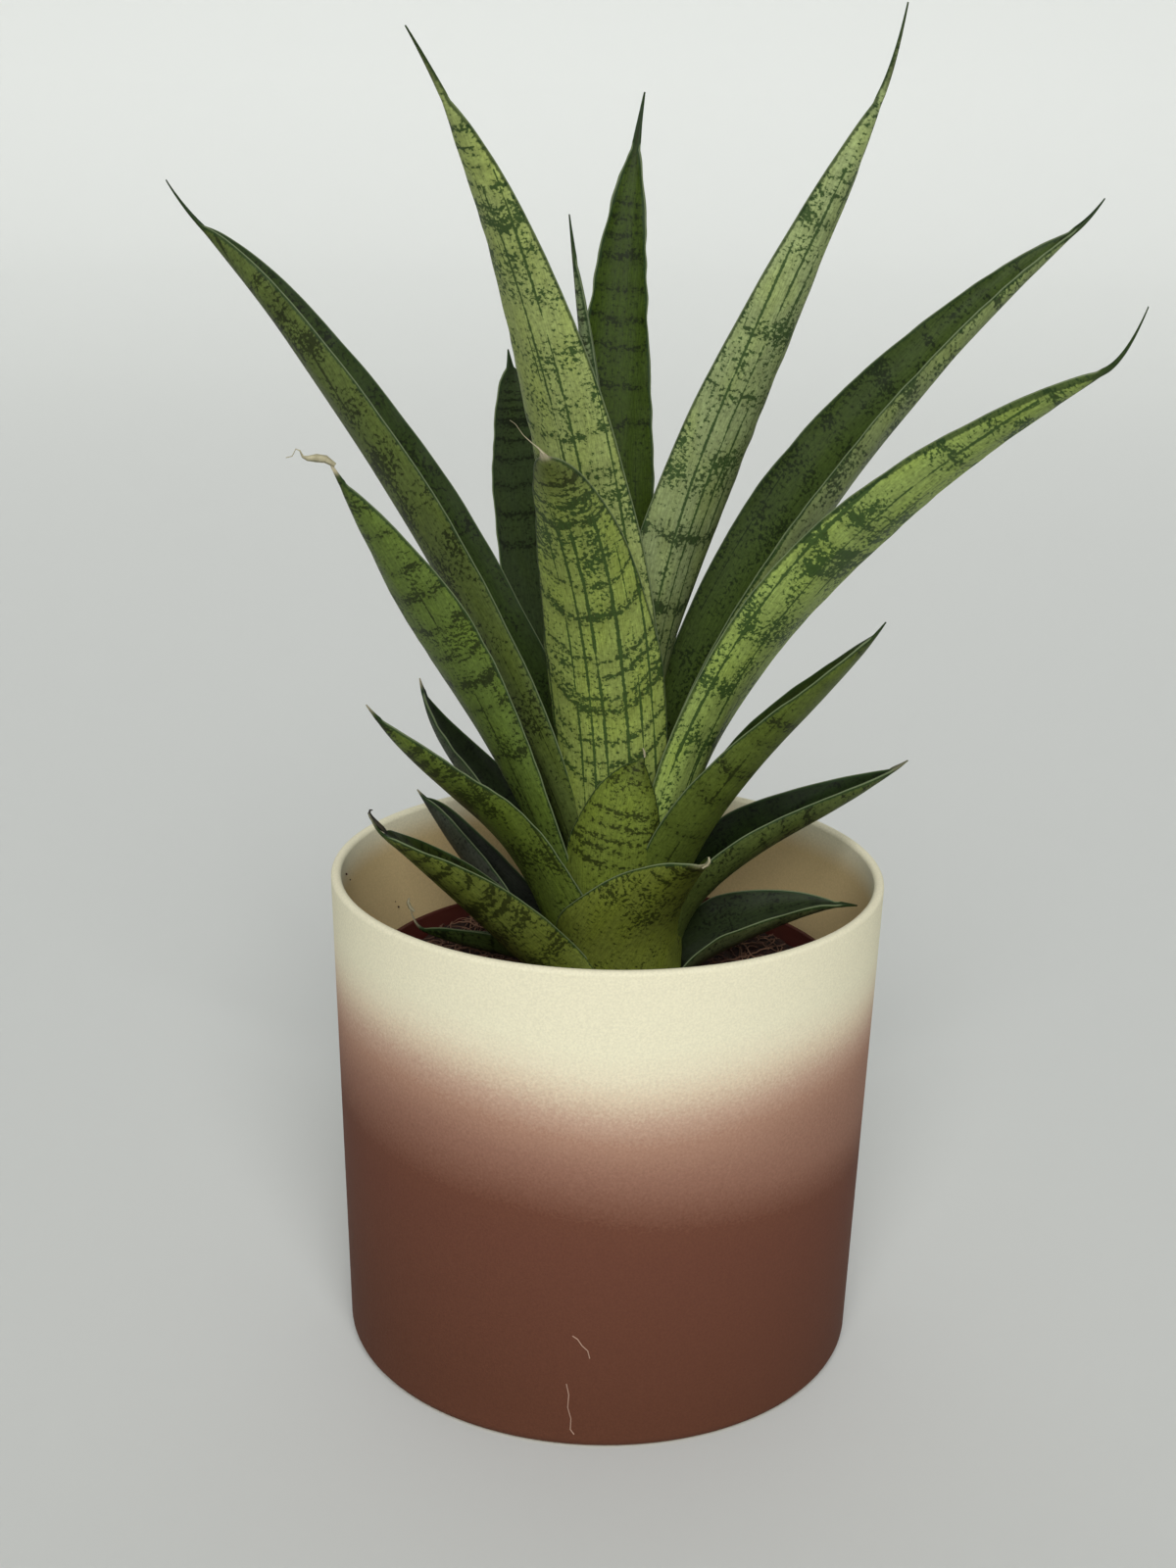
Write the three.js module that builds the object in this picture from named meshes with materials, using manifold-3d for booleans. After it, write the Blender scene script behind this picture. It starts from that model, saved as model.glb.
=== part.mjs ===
// A potted snake plant: a rosette of banded leaves on a short crown, rooted in coir compost in a
// plastic nursery pot, which stands loose in a tapered cover pot.
// Millimetres, +Z up. The origin is the centre of the cover pot's underside, and -Y is the front.
import * as THREE from 'three';
import { ParametricGeometry } from 'three/addons/geometries/ParametricGeometry.js';
import { mergeGeometries, mergeVertices } from 'three/addons/utils/BufferGeometryUtils.js';
import Module from 'manifold-3d';

// Clearance between pieces that rest on or beside each other
const CLEARANCE = 0.3;

// Cover pot: one moulded wall and floor, a little wider at the top
const COVER_TOP_RADIUS = 67.5;
const COVER_FOOT_RADIUS = 63.8;
const COVER_HEIGHT = 123;
const COVER_WALL = 2.5;
const COVER_FLOOR = 3;
const COVER_FOOT_ROUNDING = 3;
const COVER_CORNER = 2;
const COVER_SIDES = 64;

// Nursery pot: a thin cup on a foot ring, with a stiff collar round its rim and holes in its floor
const NURSERY_RIM_RADIUS = 59.5;
const NURSERY_RIM_HEIGHT = 95.5;
const NURSERY_FOOT_RADIUS = 44;
const NURSERY_WALL = 1.2;
const NURSERY_COLLAR_DEPTH = 9;
const NURSERY_COLLAR_STEP = 2;
const NURSERY_RIM_ROUNDING = 0.6;
const NURSERY_FOOT_RING = 4;
const NURSERY_FLOOR_LIFT = 2;
const NURSERY_FLOOR = 1.5;
const NURSERY_SIDES = 48;
const DRAIN_HOLES = 6;
const DRAIN_HOLE_RADIUS = 4.5;
const DRAIN_HOLE_SIDES = 12;
const DRAIN_CIRCLE_RADIUS = 27;

// Compost: fills the nursery pot to just under its rim, uneven on top
const COMPOST_TOP = 92;
const COMPOST_SIDES = 48;
const COMPOST_RINGS = 9;

// Crown: the short thick stem that all leaves grow from, a little off the pot's axis
const CROWN_X = 3;
const CROWN_Y = 2;
const CROWN_BOTTOM = 66;
const CROWN_BOTTOM_TAPER = 8;
const CROWN_SHANK_RADIUS = 13.5;
const CROWN_SHOULDER = 95;
const CROWN_TOP = 135;
const CROWN_TOP_RADIUS = 2;
const CROWN_SIDES = 28;

// Leaves: what is common to all blades. The fractions are of a blade's length from its foot.
const MARGIN_THICKNESS = 0.8;
const BLADE_END_THICKNESS = 1.1;
const AWN_ROOT_WIDTH = 2.4;
const AWN_END_WIDTH = 0.8;
const SLIM_WIDTH = 8;
const UPRIGHT_END = 0.22;
const CLASP_END = 0.35;
const TURN_END = 0.6;
const TIP_FOLD_START = 0.6;
const TAPER_POWER = 1.3;
const USUAL_BLUNTNESS = 0.7;
const MARGIN_POWER = 2.2;
const LEAF_ACROSS = 6;
const LONG_LEAF = 120;
const LONG_LEAF_STATIONS = 16;
const SHORT_LEAF_STATIONS = 12;
const AWN_STATIONS = 2;

// One row a leaf, from the heart of the rosette outwards. points is the way the leaf leans, in degrees
// anticlockwise from +X, and grows the side of the crown it grows from, where that differs. foot, lower,
// upper and tip are four evenly spaced points of its midrib, each as [distance from the crown's axis,
// height, sideways]. base and width are measured across the blade along its curve, at the foot and at
// the widest place, which lies at the fraction belly of the length. fold and tipFold say how far the
// blade curls up across, in degrees, and roll how far it turns about its midrib. thick is the midrib's
// thickness at the foot, awn the length of the spine-like end, hook how far the awn curls up, and blunt
// how slowly the blade narrows to it (less is blunter).
const LEAVES = [
  { name: 'leaf_01_heart', points: 180, foot: [4.6, 131], lower: [7, 192], upper: [11, 243], tip: [15, 278],
    base: 13, width: 17, belly: 0.4, fold: 150, tipFold: 150, roll: 0, thick: 2.2, awn: 16 },
  { name: 'leaf_02_back', points: 92, foot: [5.6, 127], lower: [14, 185, 3], upper: [26, 245, 3],
    tip: [40, 304, -3],
    base: 17, width: 22, belly: 0.5, fold: 70, tipFold: 100, roll: 0, thick: 2.4, awn: 12, blunt: 0.6 },
  { name: 'leaf_03_front_left', points: -128, foot: [6.8, 124], lower: [13, 190], upper: [38, 260],
    tip: [75, 317],
    base: 20, width: 32, belly: 0.36, fold: 70, tipFold: 90, roll: 0, thick: 2.6, awn: 18 },
  { name: 'leaf_04_front_right', points: -22, foot: [7.6, 121], lower: [12, 195], upper: [37, 263],
    tip: [60, 318],
    base: 21, width: 26, belly: 0.36, fold: 70, tipFold: 100, roll: 35, thick: 2.6, awn: 18, hook: 6 },
  { name: 'leaf_05_back_left', points: 124, foot: [8, 120], lower: [36, 170], upper: [49, 212],
    tip: [55, 242],
    base: 20, width: 22, belly: 0.6, fold: 60, tipFold: 70, roll: 0, thick: 2.4, awn: 8, blunt: 0.5 },
  { name: 'leaf_06_right', points: 8, foot: [8.8, 117], lower: [29.5, 183], upper: [68, 240],
    tip: [109, 281],
    base: 23, width: 37, belly: 0.49, fold: 165, tipFold: 180, roll: -13, thick: 2.8, awn: 10, hook: 2,
    blunt: 0.85 },
  { name: 'leaf_07_left', points: 169, foot: [9.1, 116], lower: [34.5, 174], upper: [76, 238.5],
    tip: [112, 279.5],
    base: 23, width: 37, belly: 0.52, fold: 165, tipFold: 180, roll: -8, thick: 2.8, awn: 18, hook: 3,
    blunt: 0.65 },
  { name: 'leaf_08_right', points: -24, foot: [10.8, 110], lower: [34, 181], upper: [76, 228],
    tip: [116, 256],
    base: 22, width: 26, belly: 0.4, fold: 60, tipFold: 80, roll: 32, thick: 2.8, awn: 14, hook: 9 },
  { name: 'leaf_09_front', points: -100, foot: [10.3, 112], lower: [14, 154, -1], upper: [29, 197, -4],
    tip: [58, 234, -9],
    base: 26, width: 30, belly: 0.5, fold: 80, tipFold: 100, roll: 0, thick: 2.8, awn: 3, blunt: 0.5 },
  { name: 'leaf_10_left', points: -158, foot: [11.1, 109], lower: [34, 160], upper: [54, 195], tip: [72, 226],
    base: 13, width: 23, belly: 0.6, fold: 70, tipFold: 90, roll: -28, thick: 2.8, awn: 7 },
  { name: 'leaf_11_right', points: -30, foot: [12.3, 105], lower: [24, 137], upper: [45.5, 166.5],
    tip: [66.5, 193.5],
    base: 22, width: 31, belly: 0.44, fold: 145, tipFold: 80, roll: -10, thick: 2.8, awn: 5, blunt: 0.6 },
  { name: 'leaf_12_back', points: 62, foot: [12.3, 105], lower: [22, 134], upper: [34, 158], tip: [47, 178],
    base: 21, width: 23, belly: 0.42, fold: 80, tipFold: 110, roll: 0, thick: 2.6, awn: 4 },
  { name: 'leaf_13_left', points: 160, foot: [12.5, 104], lower: [32, 130.5], upper: [46, 146.5],
    tip: [54, 164],
    base: 20, width: 21, belly: 0.48, fold: 125, tipFold: 108, roll: -7, thick: 2.4, awn: 4, blunt: 0.8 },
  { name: 'leaf_14_back', points: 112, foot: [12.8, 103], lower: [24, 128], upper: [36, 143], tip: [48, 154],
    base: 20, width: 21, belly: 0.42, fold: 80, tipFold: 100, roll: 0, thick: 2.6, awn: 4 },
  { name: 'leaf_15_front', points: -90, foot: [13.6, 101], lower: [17, 122, -1], upper: [19, 140, 0],
    tip: [19, 157, 5],
    base: 27, width: 29, belly: 0.42, fold: 110, tipFold: 120, roll: 0, thick: 2.8, awn: 2, blunt: 0.6 },
  { name: 'leaf_16_right', points: 6, foot: [14, 99], lower: [25, 119.5], upper: [48, 135], tip: [70.5, 149],
    base: 18, width: 28, belly: 0.47, fold: 165, tipFold: 145, roll: 0, thick: 2.6, awn: 4, blunt: 0.85 },
  { name: 'leaf_17_left', points: -158, foot: [14, 99], lower: [28, 130], upper: [45, 148], tip: [64, 169],
    base: 33, width: 30, belly: 0.36, fold: 70, tipFold: 100, roll: -15, thick: 2.8, awn: 4 },
  { name: 'leaf_18_back', points: 78, foot: [14.2, 98], lower: [20, 110], upper: [27, 120], tip: [35, 129],
    base: 22, width: 22, belly: 0.4, fold: 90, tipFold: 110, roll: 0, thick: 2.6, awn: 3 },
  { name: 'leaf_19_left', points: 162, foot: [14.2, 98], lower: [33, 111], upper: [45, 124], tip: [54, 135.5],
    base: 15, width: 20, belly: 0.48, fold: 160, tipFold: 175, roll: -15, thick: 2.4, awn: 4, blunt: 0.55 },
  { name: 'leaf_20_front', points: -58, grows: -90, foot: [15.4, 95.4], lower: [17, 108, -6],
    upper: [25, 123, -2], tip: [38, 135],
    base: 38, width: 41, belly: 0.35, fold: 120, tipFold: 110, roll: 0, thick: 3, awn: 2, blunt: 0.6 },
  { name: 'leaf_21_right', points: 6, foot: [15.4, 95.2], lower: [28, 102.5], upper: [44, 109],
    tip: [60, 111],
    base: 20, width: 27, belly: 0.37, fold: 140, tipFold: 155, roll: -7, thick: 2.6, awn: 4, blunt: 0.95 },
  { name: 'leaf_22_left', points: -152, foot: [15.6, 95.2], lower: [25.5, 102], upper: [47, 124],
    tip: [66, 142],
    base: 30, width: 33, belly: 0.5, fold: 165, tipFold: 75, roll: -1, thick: 2.8, awn: 6, hook: 3,
    blunt: 0.5 },
  { name: 'leaf_23_left', points: 168, foot: [15.4, 95.2], lower: [26, 96], upper: [42, 98], tip: [54, 101.5],
    base: 18, width: 19, belly: 0.41, fold: 120, tipFold: 130, roll: -22, thick: 2.4, awn: 5, hook: 4,
    blunt: 0.6 },
];

const LOOKS = {
  coverPot: { color: '#b9a184', roughness: 0.75, metalness: 0 },
  nurseryPot: { color: '#7a2f22', roughness: 0.6, metalness: 0 },
  compost: { color: '#3a1a12', roughness: 1, metalness: 0 },
  crown: { color: '#c9c79a', roughness: 0.8, metalness: 0 },
  leaf: { color: '#6f8f45', roughness: 0.5, metalness: 0 },
};

const wasm = await Module();
wasm.setup();

const radians = THREE.MathUtils.degToRad;
const ease = THREE.MathUtils.smoothstep;
const between = THREE.MathUtils.lerp;

// A closed triangle mesh as a solid, once its doubled vertices are merged
function toSolid(geometry) {
  const bare = geometry.clone();
  bare.deleteAttribute('normal');
  bare.deleteAttribute('uv');
  const merged = mergeVertices(bare, 1e-4);
  const corners = merged.index.array;
  const kept = [];
  for (let i = 0; i < corners.length; i += 3) {
    const [a, b, c] = [corners[i], corners[i + 1], corners[i + 2]];
    if (a !== b && b !== c && c !== a) {
      kept.push(a, b, c);
    }
  }
  return new wasm.Manifold(new wasm.Mesh({
    numProp: 3,
    vertProperties: new Float32Array(merged.attributes.position.array),
    triVerts: new Uint32Array(kept),
  }));
}

// A solid as a three.js geometry
function toGeometry(solid) {
  const mesh = solid.getMesh();
  const geometry = new THREE.BufferGeometry();
  geometry.setAttribute('position', new THREE.BufferAttribute(new Float32Array(mesh.vertProperties), 3));
  geometry.setIndex(new THREE.BufferAttribute(new Uint32Array(mesh.triVerts), 1));
  geometry.computeVertexNormals();
  return geometry;
}

// The biggest body of a solid that a cut may have left in several
function biggestBody(solid) {
  return solid.decompose().reduce((biggest, body) => (body.volume() > biggest.volume() ? body : biggest));
}

// A geometry turned round +Z from a profile of [radius, height] points
function turned(profile, sides) {
  const points = profile.map(([radius, height]) => new THREE.Vector2(radius, height));
  const geometry = new THREE.LatheGeometry(points, sides);
  geometry.rotateX(Math.PI / 2);
  return geometry;
}

// The cover pot's outer radius at a height
function coverRadius(height) {
  return between(COVER_FOOT_RADIUS, COVER_TOP_RADIUS, height / COVER_HEIGHT);
}

function coverPot() {
  const footCentre = coverRadius(COVER_FOOT_ROUNDING) - COVER_FOOT_ROUNDING;
  const profile = [[0, 0]];
  for (let degrees = 0; degrees <= 90; degrees += 30) {
    profile.push([
      footCentre + COVER_FOOT_ROUNDING * Math.sin(radians(degrees)),
      COVER_FOOT_ROUNDING * (1 - Math.cos(radians(degrees))),
    ]);
  }
  const lip = COVER_WALL / 2;
  for (let degrees = 0; degrees <= 180; degrees += 45) {
    profile.push([
      COVER_TOP_RADIUS - lip + lip * Math.cos(radians(degrees)),
      COVER_HEIGHT - lip + lip * Math.sin(radians(degrees)),
    ]);
  }
  const insideFoot = coverRadius(COVER_FLOOR) - COVER_WALL;
  profile.push([insideFoot, COVER_FLOOR + COVER_CORNER]);
  profile.push([insideFoot - COVER_CORNER, COVER_FLOOR]);
  profile.push([0, COVER_FLOOR]);
  return toSolid(turned(profile, COVER_SIDES));
}

// Where the nursery pot stands, the underside of its collar, and its outer radius between them
const nurseryFoot = COVER_FLOOR + CLEARANCE;
const nurseryShoulder = NURSERY_RIM_HEIGHT - NURSERY_COLLAR_DEPTH;
const nurseryFloorTop = nurseryFoot + NURSERY_FLOOR_LIFT + NURSERY_FLOOR;
function nurseryRadius(height) {
  const shoulderRadius = NURSERY_RIM_RADIUS - NURSERY_COLLAR_STEP;
  return THREE.MathUtils.mapLinear(height, nurseryFoot, nurseryShoulder, NURSERY_FOOT_RADIUS, shoulderRadius);
}

function nurseryPot() {
  const rounding = NURSERY_RIM_ROUNDING;
  const profile = [
    [0, nurseryFoot + NURSERY_FLOOR_LIFT],
    [NURSERY_FOOT_RADIUS - NURSERY_FOOT_RING - NURSERY_FLOOR_LIFT, nurseryFoot + NURSERY_FLOOR_LIFT],
    [NURSERY_FOOT_RADIUS - NURSERY_FOOT_RING, nurseryFoot],
    [NURSERY_FOOT_RADIUS, nurseryFoot],
    [nurseryRadius(nurseryShoulder), nurseryShoulder],
    [NURSERY_RIM_RADIUS - rounding, nurseryShoulder],
    [NURSERY_RIM_RADIUS, NURSERY_RIM_HEIGHT - rounding],
    [NURSERY_RIM_RADIUS - rounding, NURSERY_RIM_HEIGHT],
    [NURSERY_RIM_RADIUS - NURSERY_WALL, NURSERY_RIM_HEIGHT],
    [NURSERY_RIM_RADIUS - NURSERY_WALL - rounding, nurseryShoulder + NURSERY_WALL],
    [nurseryRadius(nurseryShoulder) - NURSERY_WALL, nurseryShoulder],
    [nurseryRadius(nurseryFloorTop) - NURSERY_WALL, nurseryFloorTop],
    [0, nurseryFloorTop],
  ];
  let pot = toSolid(turned(profile, NURSERY_SIDES));
  for (let hole = 0; hole < DRAIN_HOLES; hole += 1) {
    const angle = (2 * Math.PI * hole) / DRAIN_HOLES;
    const through = 3 * NURSERY_FLOOR;
    const punch = new THREE.CylinderGeometry(DRAIN_HOLE_RADIUS, DRAIN_HOLE_RADIUS, through, DRAIN_HOLE_SIDES);
    punch.rotateX(Math.PI / 2);
    punch.translate(
      DRAIN_CIRCLE_RADIUS * Math.cos(angle),
      DRAIN_CIRCLE_RADIUS * Math.sin(angle),
      nurseryFloorTop - NURSERY_FLOOR / 2,
    );
    pot = pot.subtract(toSolid(punch));
  }
  return pot;
}

// Unevenness of the compost's surface: broad heaps with smaller lumps on them
function compostRelief(x, y) {
  const heaps = 0.7 * Math.sin(x / 11 + 0.8) * Math.cos(y / 13 - 0.4);
  const lumps = 0.45 * Math.sin(x / 3.7 + y / 5.1) * Math.sin(y / 4.3 - x / 6.2);
  return heaps + lumps;
}

// The compost stops at the underside of the collar, then rises clear of it, with a hole for the crown
function compost() {
  const bottom = nurseryFloorTop + CLEARANCE;
  const inset = NURSERY_WALL + CLEARANCE;
  const topRadius = nurseryRadius(nurseryShoulder) - inset;
  const profile = [
    [0, bottom],
    [nurseryRadius(bottom) - inset, bottom],
    [topRadius, nurseryShoulder],
  ];
  for (let ring = 0; ring <= COMPOST_RINGS; ring += 1) {
    profile.push([topRadius * (1 - ring / COMPOST_RINGS), COMPOST_TOP]);
  }
  const heap = turned(profile, COMPOST_SIDES);
  const position = heap.attributes.position;
  for (let i = 0; i < position.count; i += 1) {
    if (position.getZ(i) > nurseryShoulder + 1) {
      position.setZ(i, COMPOST_TOP + compostRelief(position.getX(i), position.getY(i)));
    }
  }
  const hole = turned([
    [0, CROWN_BOTTOM - CLEARANCE],
    [CROWN_SHANK_RADIUS + CLEARANCE, CROWN_BOTTOM - CLEARANCE],
    [CROWN_SHANK_RADIUS + CLEARANCE, NURSERY_RIM_HEIGHT],
    [0, NURSERY_RIM_HEIGHT],
  ], CROWN_SIDES);
  hole.translate(CROWN_X, CROWN_Y, 0);
  return toSolid(heap).subtract(toSolid(hole));
}

// A stub rounded off below, and narrowing above its shoulder as the leaves leave it
function crown() {
  const stem = turned([
    [0, CROWN_BOTTOM],
    [CROWN_SHANK_RADIUS / 2, CROWN_BOTTOM],
    [CROWN_SHANK_RADIUS, CROWN_BOTTOM + CROWN_BOTTOM_TAPER],
    [CROWN_SHANK_RADIUS, CROWN_SHOULDER],
    [CROWN_TOP_RADIUS, CROWN_TOP],
    [0, CROWN_TOP],
  ], CROWN_SIDES);
  stem.translate(CROWN_X, CROWN_Y, 0);
  return toSolid(stem);
}

// The midrib: a cubic curve through the four points of a leaf
function midribCurve(leaf) {
  const [foot, lower, upper, tip] = [leaf.foot, leaf.lower, leaf.upper, leaf.tip].map((point) => {
    const [outward, height, sideways = 0] = point;
    const turn = radians(point === leaf.foot ? leaf.grows ?? leaf.points : leaf.points);
    return new THREE.Vector3(
      CROWN_X + outward * Math.cos(turn) - sideways * Math.sin(turn),
      CROWN_Y + outward * Math.sin(turn) + sideways * Math.cos(turn),
      height,
    );
  });
  const mix = (a, b, c, d) => foot.clone().multiplyScalar(a)
    .addScaledVector(lower, b)
    .addScaledVector(upper, c)
    .addScaledVector(tip, d)
    .divideScalar(6);
  return new THREE.CubicBezierCurve3(foot, mix(-5, 18, -9, 2), mix(2, -9, 18, -5), tip);
}

// The width across a blade at a fraction of its length
function bladeWidth(leaf, part) {
  if (part < leaf.belly) {
    return between(leaf.base, leaf.width, Math.sin((Math.PI / 2) * (part / leaf.belly)));
  }
  const beyond = (part - leaf.belly) / (1 - leaf.belly);
  return leaf.width * (1 - beyond ** TAPER_POWER) ** (leaf.blunt ?? USUAL_BLUNTNESS);
}

// A function giving the point of a leaf at across -1 to 1, along 0 to 1, and face -1 (outer) to 1 (inner).
// The blade is a strip bent up round its midrib, and its base clasps the crown's axis.
function bladeSurface(leaf, grow) {
  const midrib = midribCurve(leaf);
  const bladeEnd = 1 - leaf.awn / midrib.getLength();
  return (across, along, face) => {
    const part = Math.min(along / bladeEnd, 1);
    const awnPart = Math.max((along - bladeEnd) / (1 - bladeEnd), 0);

    // The midrib, and the directions across it and up from it
    const point = midrib.getPoint(along);
    point.z += (leaf.hook ?? 0) * awnPart ** 2;
    const turn = radians(between(leaf.grows ?? leaf.points, leaf.points, ease(part, 0, TURN_END)));
    const sideways = new THREE.Vector3(-Math.sin(turn), Math.cos(turn), 0);
    const run = new THREE.Vector3(0, 0, 1)
      .lerp(midrib.getTangent(along), ease(part, 0, UPRIGHT_END))
      .normalize();
    const inward = new THREE.Vector3().crossVectors(run, sideways).normalize();
    const side = new THREE.Vector3().crossVectors(inward, run);
    const roll = radians(leaf.roll) * ease(part, 0, TURN_END);
    const up = inward.clone().multiplyScalar(Math.cos(roll)).addScaledVector(side, Math.sin(roll));
    const aside = side.clone().multiplyScalar(Math.cos(roll)).addScaledVector(inward, -Math.sin(roll));

    // The section: an arc of the blade's width, thickest at the midrib
    const awnWidth = between(AWN_ROOT_WIDTH, AWN_END_WIDTH, awnPart);
    const width = Math.max(bladeWidth(leaf, part), awnWidth) + 2 * grow;
    const clasp = leaf.base / leaf.foot[0];
    const curl = between(clasp, radians(leaf.fold), ease(part, 0, CLASP_END));
    const fold = between(curl, radians(leaf.tipFold), ease(part, TIP_FOLD_START, 1));
    const bend = width / fold;
    const angle = (across * fold) / 2;
    const rib = between(leaf.thick, BLADE_END_THICKNESS, part) - MARGIN_THICKNESS;
    const slim = Math.min(width / SLIM_WIDTH, 1);
    const thickness = MARGIN_THICKNESS + rib * slim * (1 - Math.abs(across) ** MARGIN_POWER) + 2 * grow;
    const offset = (face * thickness) / 2;

    return point
      .addScaledVector(aside, (bend - offset) * Math.sin(angle))
      .addScaledVector(up, bend - (bend - offset) * Math.cos(angle));
  };
}

// A leaf as a solid. Both faces are split into triangles alike, and strips close the two margins, the
// foot and the end of the awn. grow swells the blade all round, to cut a clearance with.
function leafSolid(leaf, grow = 0) {
  const surface = bladeSurface(leaf, grow);
  const length = midribCurve(leaf).getLength();
  const bladeEnd = 1 - leaf.awn / length;
  const stations = length > LONG_LEAF ? LONG_LEAF_STATIONS : SHORT_LEAF_STATIONS;
  const bladeStations = stations - AWN_STATIONS;
  const along = (v) => {
    const station = v * stations;
    if (station <= bladeStations) {
      return bladeEnd * (station / bladeStations);
    }
    return between(bladeEnd, 1, (station - bladeStations) / AWN_STATIONS);
  };
  const patch = (place, columns, rows) => new ParametricGeometry(
    (u, v, at) => at.copy(surface(...place(u, v))), columns, rows);
  const innerFace = patch((u, v) => [2 * u - 1, along(v), 1], LEAF_ACROSS, stations);
  innerFace.index.array.reverse();
  return toSolid(mergeGeometries([
    innerFace,
    patch((u, v) => [2 * u - 1, along(v), -1], LEAF_ACROSS, stations),
    patch((u, v) => [1, along(v), 2 * u - 1], 1, stations),
    patch((u, v) => [-1, along(v), 1 - 2 * u], 1, stations),
    patch((u, v) => [2 * u - 1, 0, 1 - 2 * v], LEAF_ACROSS, 1),
    patch((u, v) => [2 * u - 1, 1, 2 * v - 1], LEAF_ACROSS, 1),
  ]));
}

// All leaves. Where two bases press on each other, the inner leaf gives way to the outer one.
function fittedLeaves() {
  const leaves = [];
  const taken = [];
  for (const leaf of [...LEAVES].reverse()) {
    let solid = leafSolid(leaf);
    for (const outer of taken) {
      if (solid.intersect(outer).volume() > 0) {
        solid = biggestBody(solid.subtract(outer));
      }
    }
    leaves.unshift([leaf.name, solid]);
    taken.push(leafSolid(leaf, CLEARANCE));
  }
  return leaves;
}

const plant = new THREE.Group();

function addPiece(name, solid, look) {
  const mesh = new THREE.Mesh(toGeometry(solid), new THREE.MeshStandardMaterial(look));
  mesh.name = name;
  plant.add(mesh);
}

addPiece('cover_pot', coverPot(), LOOKS.coverPot);
addPiece('nursery_pot', nurseryPot(), LOOKS.nurseryPot);
addPiece('compost', compost(), LOOKS.compost);
addPiece('crown', crown(), LOOKS.crown);
for (const [name, solid] of fittedLeaves()) {
  addPiece(name, solid, LOOKS.leaf);
}

export default plant;
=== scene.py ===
import math
import random

import bmesh
import bpy
from mathutils import Matrix, Vector, noise


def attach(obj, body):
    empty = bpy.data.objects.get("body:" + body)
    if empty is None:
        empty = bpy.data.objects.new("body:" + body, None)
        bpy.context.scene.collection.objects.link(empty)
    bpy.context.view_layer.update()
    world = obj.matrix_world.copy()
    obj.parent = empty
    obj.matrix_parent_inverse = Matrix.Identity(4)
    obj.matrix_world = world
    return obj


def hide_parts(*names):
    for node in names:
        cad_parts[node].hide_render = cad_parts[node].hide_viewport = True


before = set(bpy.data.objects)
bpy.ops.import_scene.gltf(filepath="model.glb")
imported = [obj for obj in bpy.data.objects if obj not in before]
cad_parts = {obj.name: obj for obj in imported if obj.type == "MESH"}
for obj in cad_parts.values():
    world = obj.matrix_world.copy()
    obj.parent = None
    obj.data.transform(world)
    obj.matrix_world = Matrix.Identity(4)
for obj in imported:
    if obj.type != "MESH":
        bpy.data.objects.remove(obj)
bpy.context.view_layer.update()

# Cover pot: a tapered cup of moulded plastic with a rounded lip. It is sprayed cream all over, then
# terracotta brown from below, and the two sprays mist into a dusty pink where they overlap.
MM = 0.001
COVER_TOP, COVER_FOOT, COVER_HEIGHT, COVER_WALL, COVER_FLOOR = 67.5, 63.8, 123, 2.5, 3


def hex_colour(code):
    """An sRGB hex value as a linear colour with alpha."""
    parts = [int(code[i:i + 2], 16) / 255 for i in (1, 3, 5)]
    return [c / 12.92 if c <= 0.04045 else ((c + 0.055) / 1.055) ** 2.4 for c in parts] + [1.0]


def new_material(name):
    """A material, its node tree and its Principled shader."""
    material = bpy.data.materials.new(name)
    material.use_nodes = True
    tree = material.node_tree
    return material, tree, tree.nodes["Principled BSDF"]


def add_node(tree, kind, settings=(), links=()):
    """A node, with its properties and plain inputs from settings. links names the source of each linked
    input: an output, or a node, which stands for its first output."""
    node = tree.nodes.new("ShaderNode" + kind)
    for key, value in dict(settings).items():
        if isinstance(key, str) and hasattr(node, key):
            setattr(node, key, value)
        else:
            node.inputs[key].default_value = value
    for key, source in dict(links).items():
        output = source.outputs[0] if isinstance(source, bpy.types.Node) else source
        tree.links.new(output, node.inputs[key])
    return node


def turned_wall(profile, rounded, steps):
    """A wall turned round Z from [radius, height] corners in mm. rounded gives a corner's rounding."""
    bm = bmesh.new()
    corners = [bm.verts.new((radius * MM, 0, height * MM)) for radius, height in profile]
    for start, end in zip(corners, corners[1:]):
        bm.edges.new((start, end))
    for corner, (size, segments) in rounded.items():
        bmesh.ops.bevel(bm, geom=[corners[corner]], offset=size * MM, segments=segments, profile=0.5,
                        affect="VERTICES", material=-1)
    bmesh.ops.spin(bm, geom=bm.edges[:], cent=(0, 0, 0), axis=(0, 0, 1), dvec=(0, 0, 0),
                   angle=2 * math.pi, steps=steps, use_merge=True, use_duplicate=False,
                   use_normal_flip=False, space=Matrix())
    bmesh.ops.remove_doubles(bm, verts=bm.verts[:], dist=1e-6)
    bmesh.ops.recalc_face_normals(bm, faces=bm.faces[:])
    return bm


def place_piece(name, bm, material, nodes):
    """Makes a bmesh a smooth piece of the object, which stands for those CAD nodes."""
    mesh = bpy.data.meshes.new(name)
    bm.to_mesh(mesh)
    bm.free()
    mesh.materials.append(material)
    mesh.shade_smooth()
    piece = bpy.data.objects.new(name, mesh)
    bpy.context.collection.objects.link(piece)
    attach(piece, "root")
    if nodes:
        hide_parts(*nodes)
    return piece


# Matte lacquer sprayed on ABS: hardly any shine, and the fine grain of a spray
lacquer, tree, shader = new_material("matte_lacquer_sprayed_on_ABS")
place = add_node(tree, "TexCoord")
axes = add_node(tree, "SeparateXYZ", links={0: place.outputs["Object"]})
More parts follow.
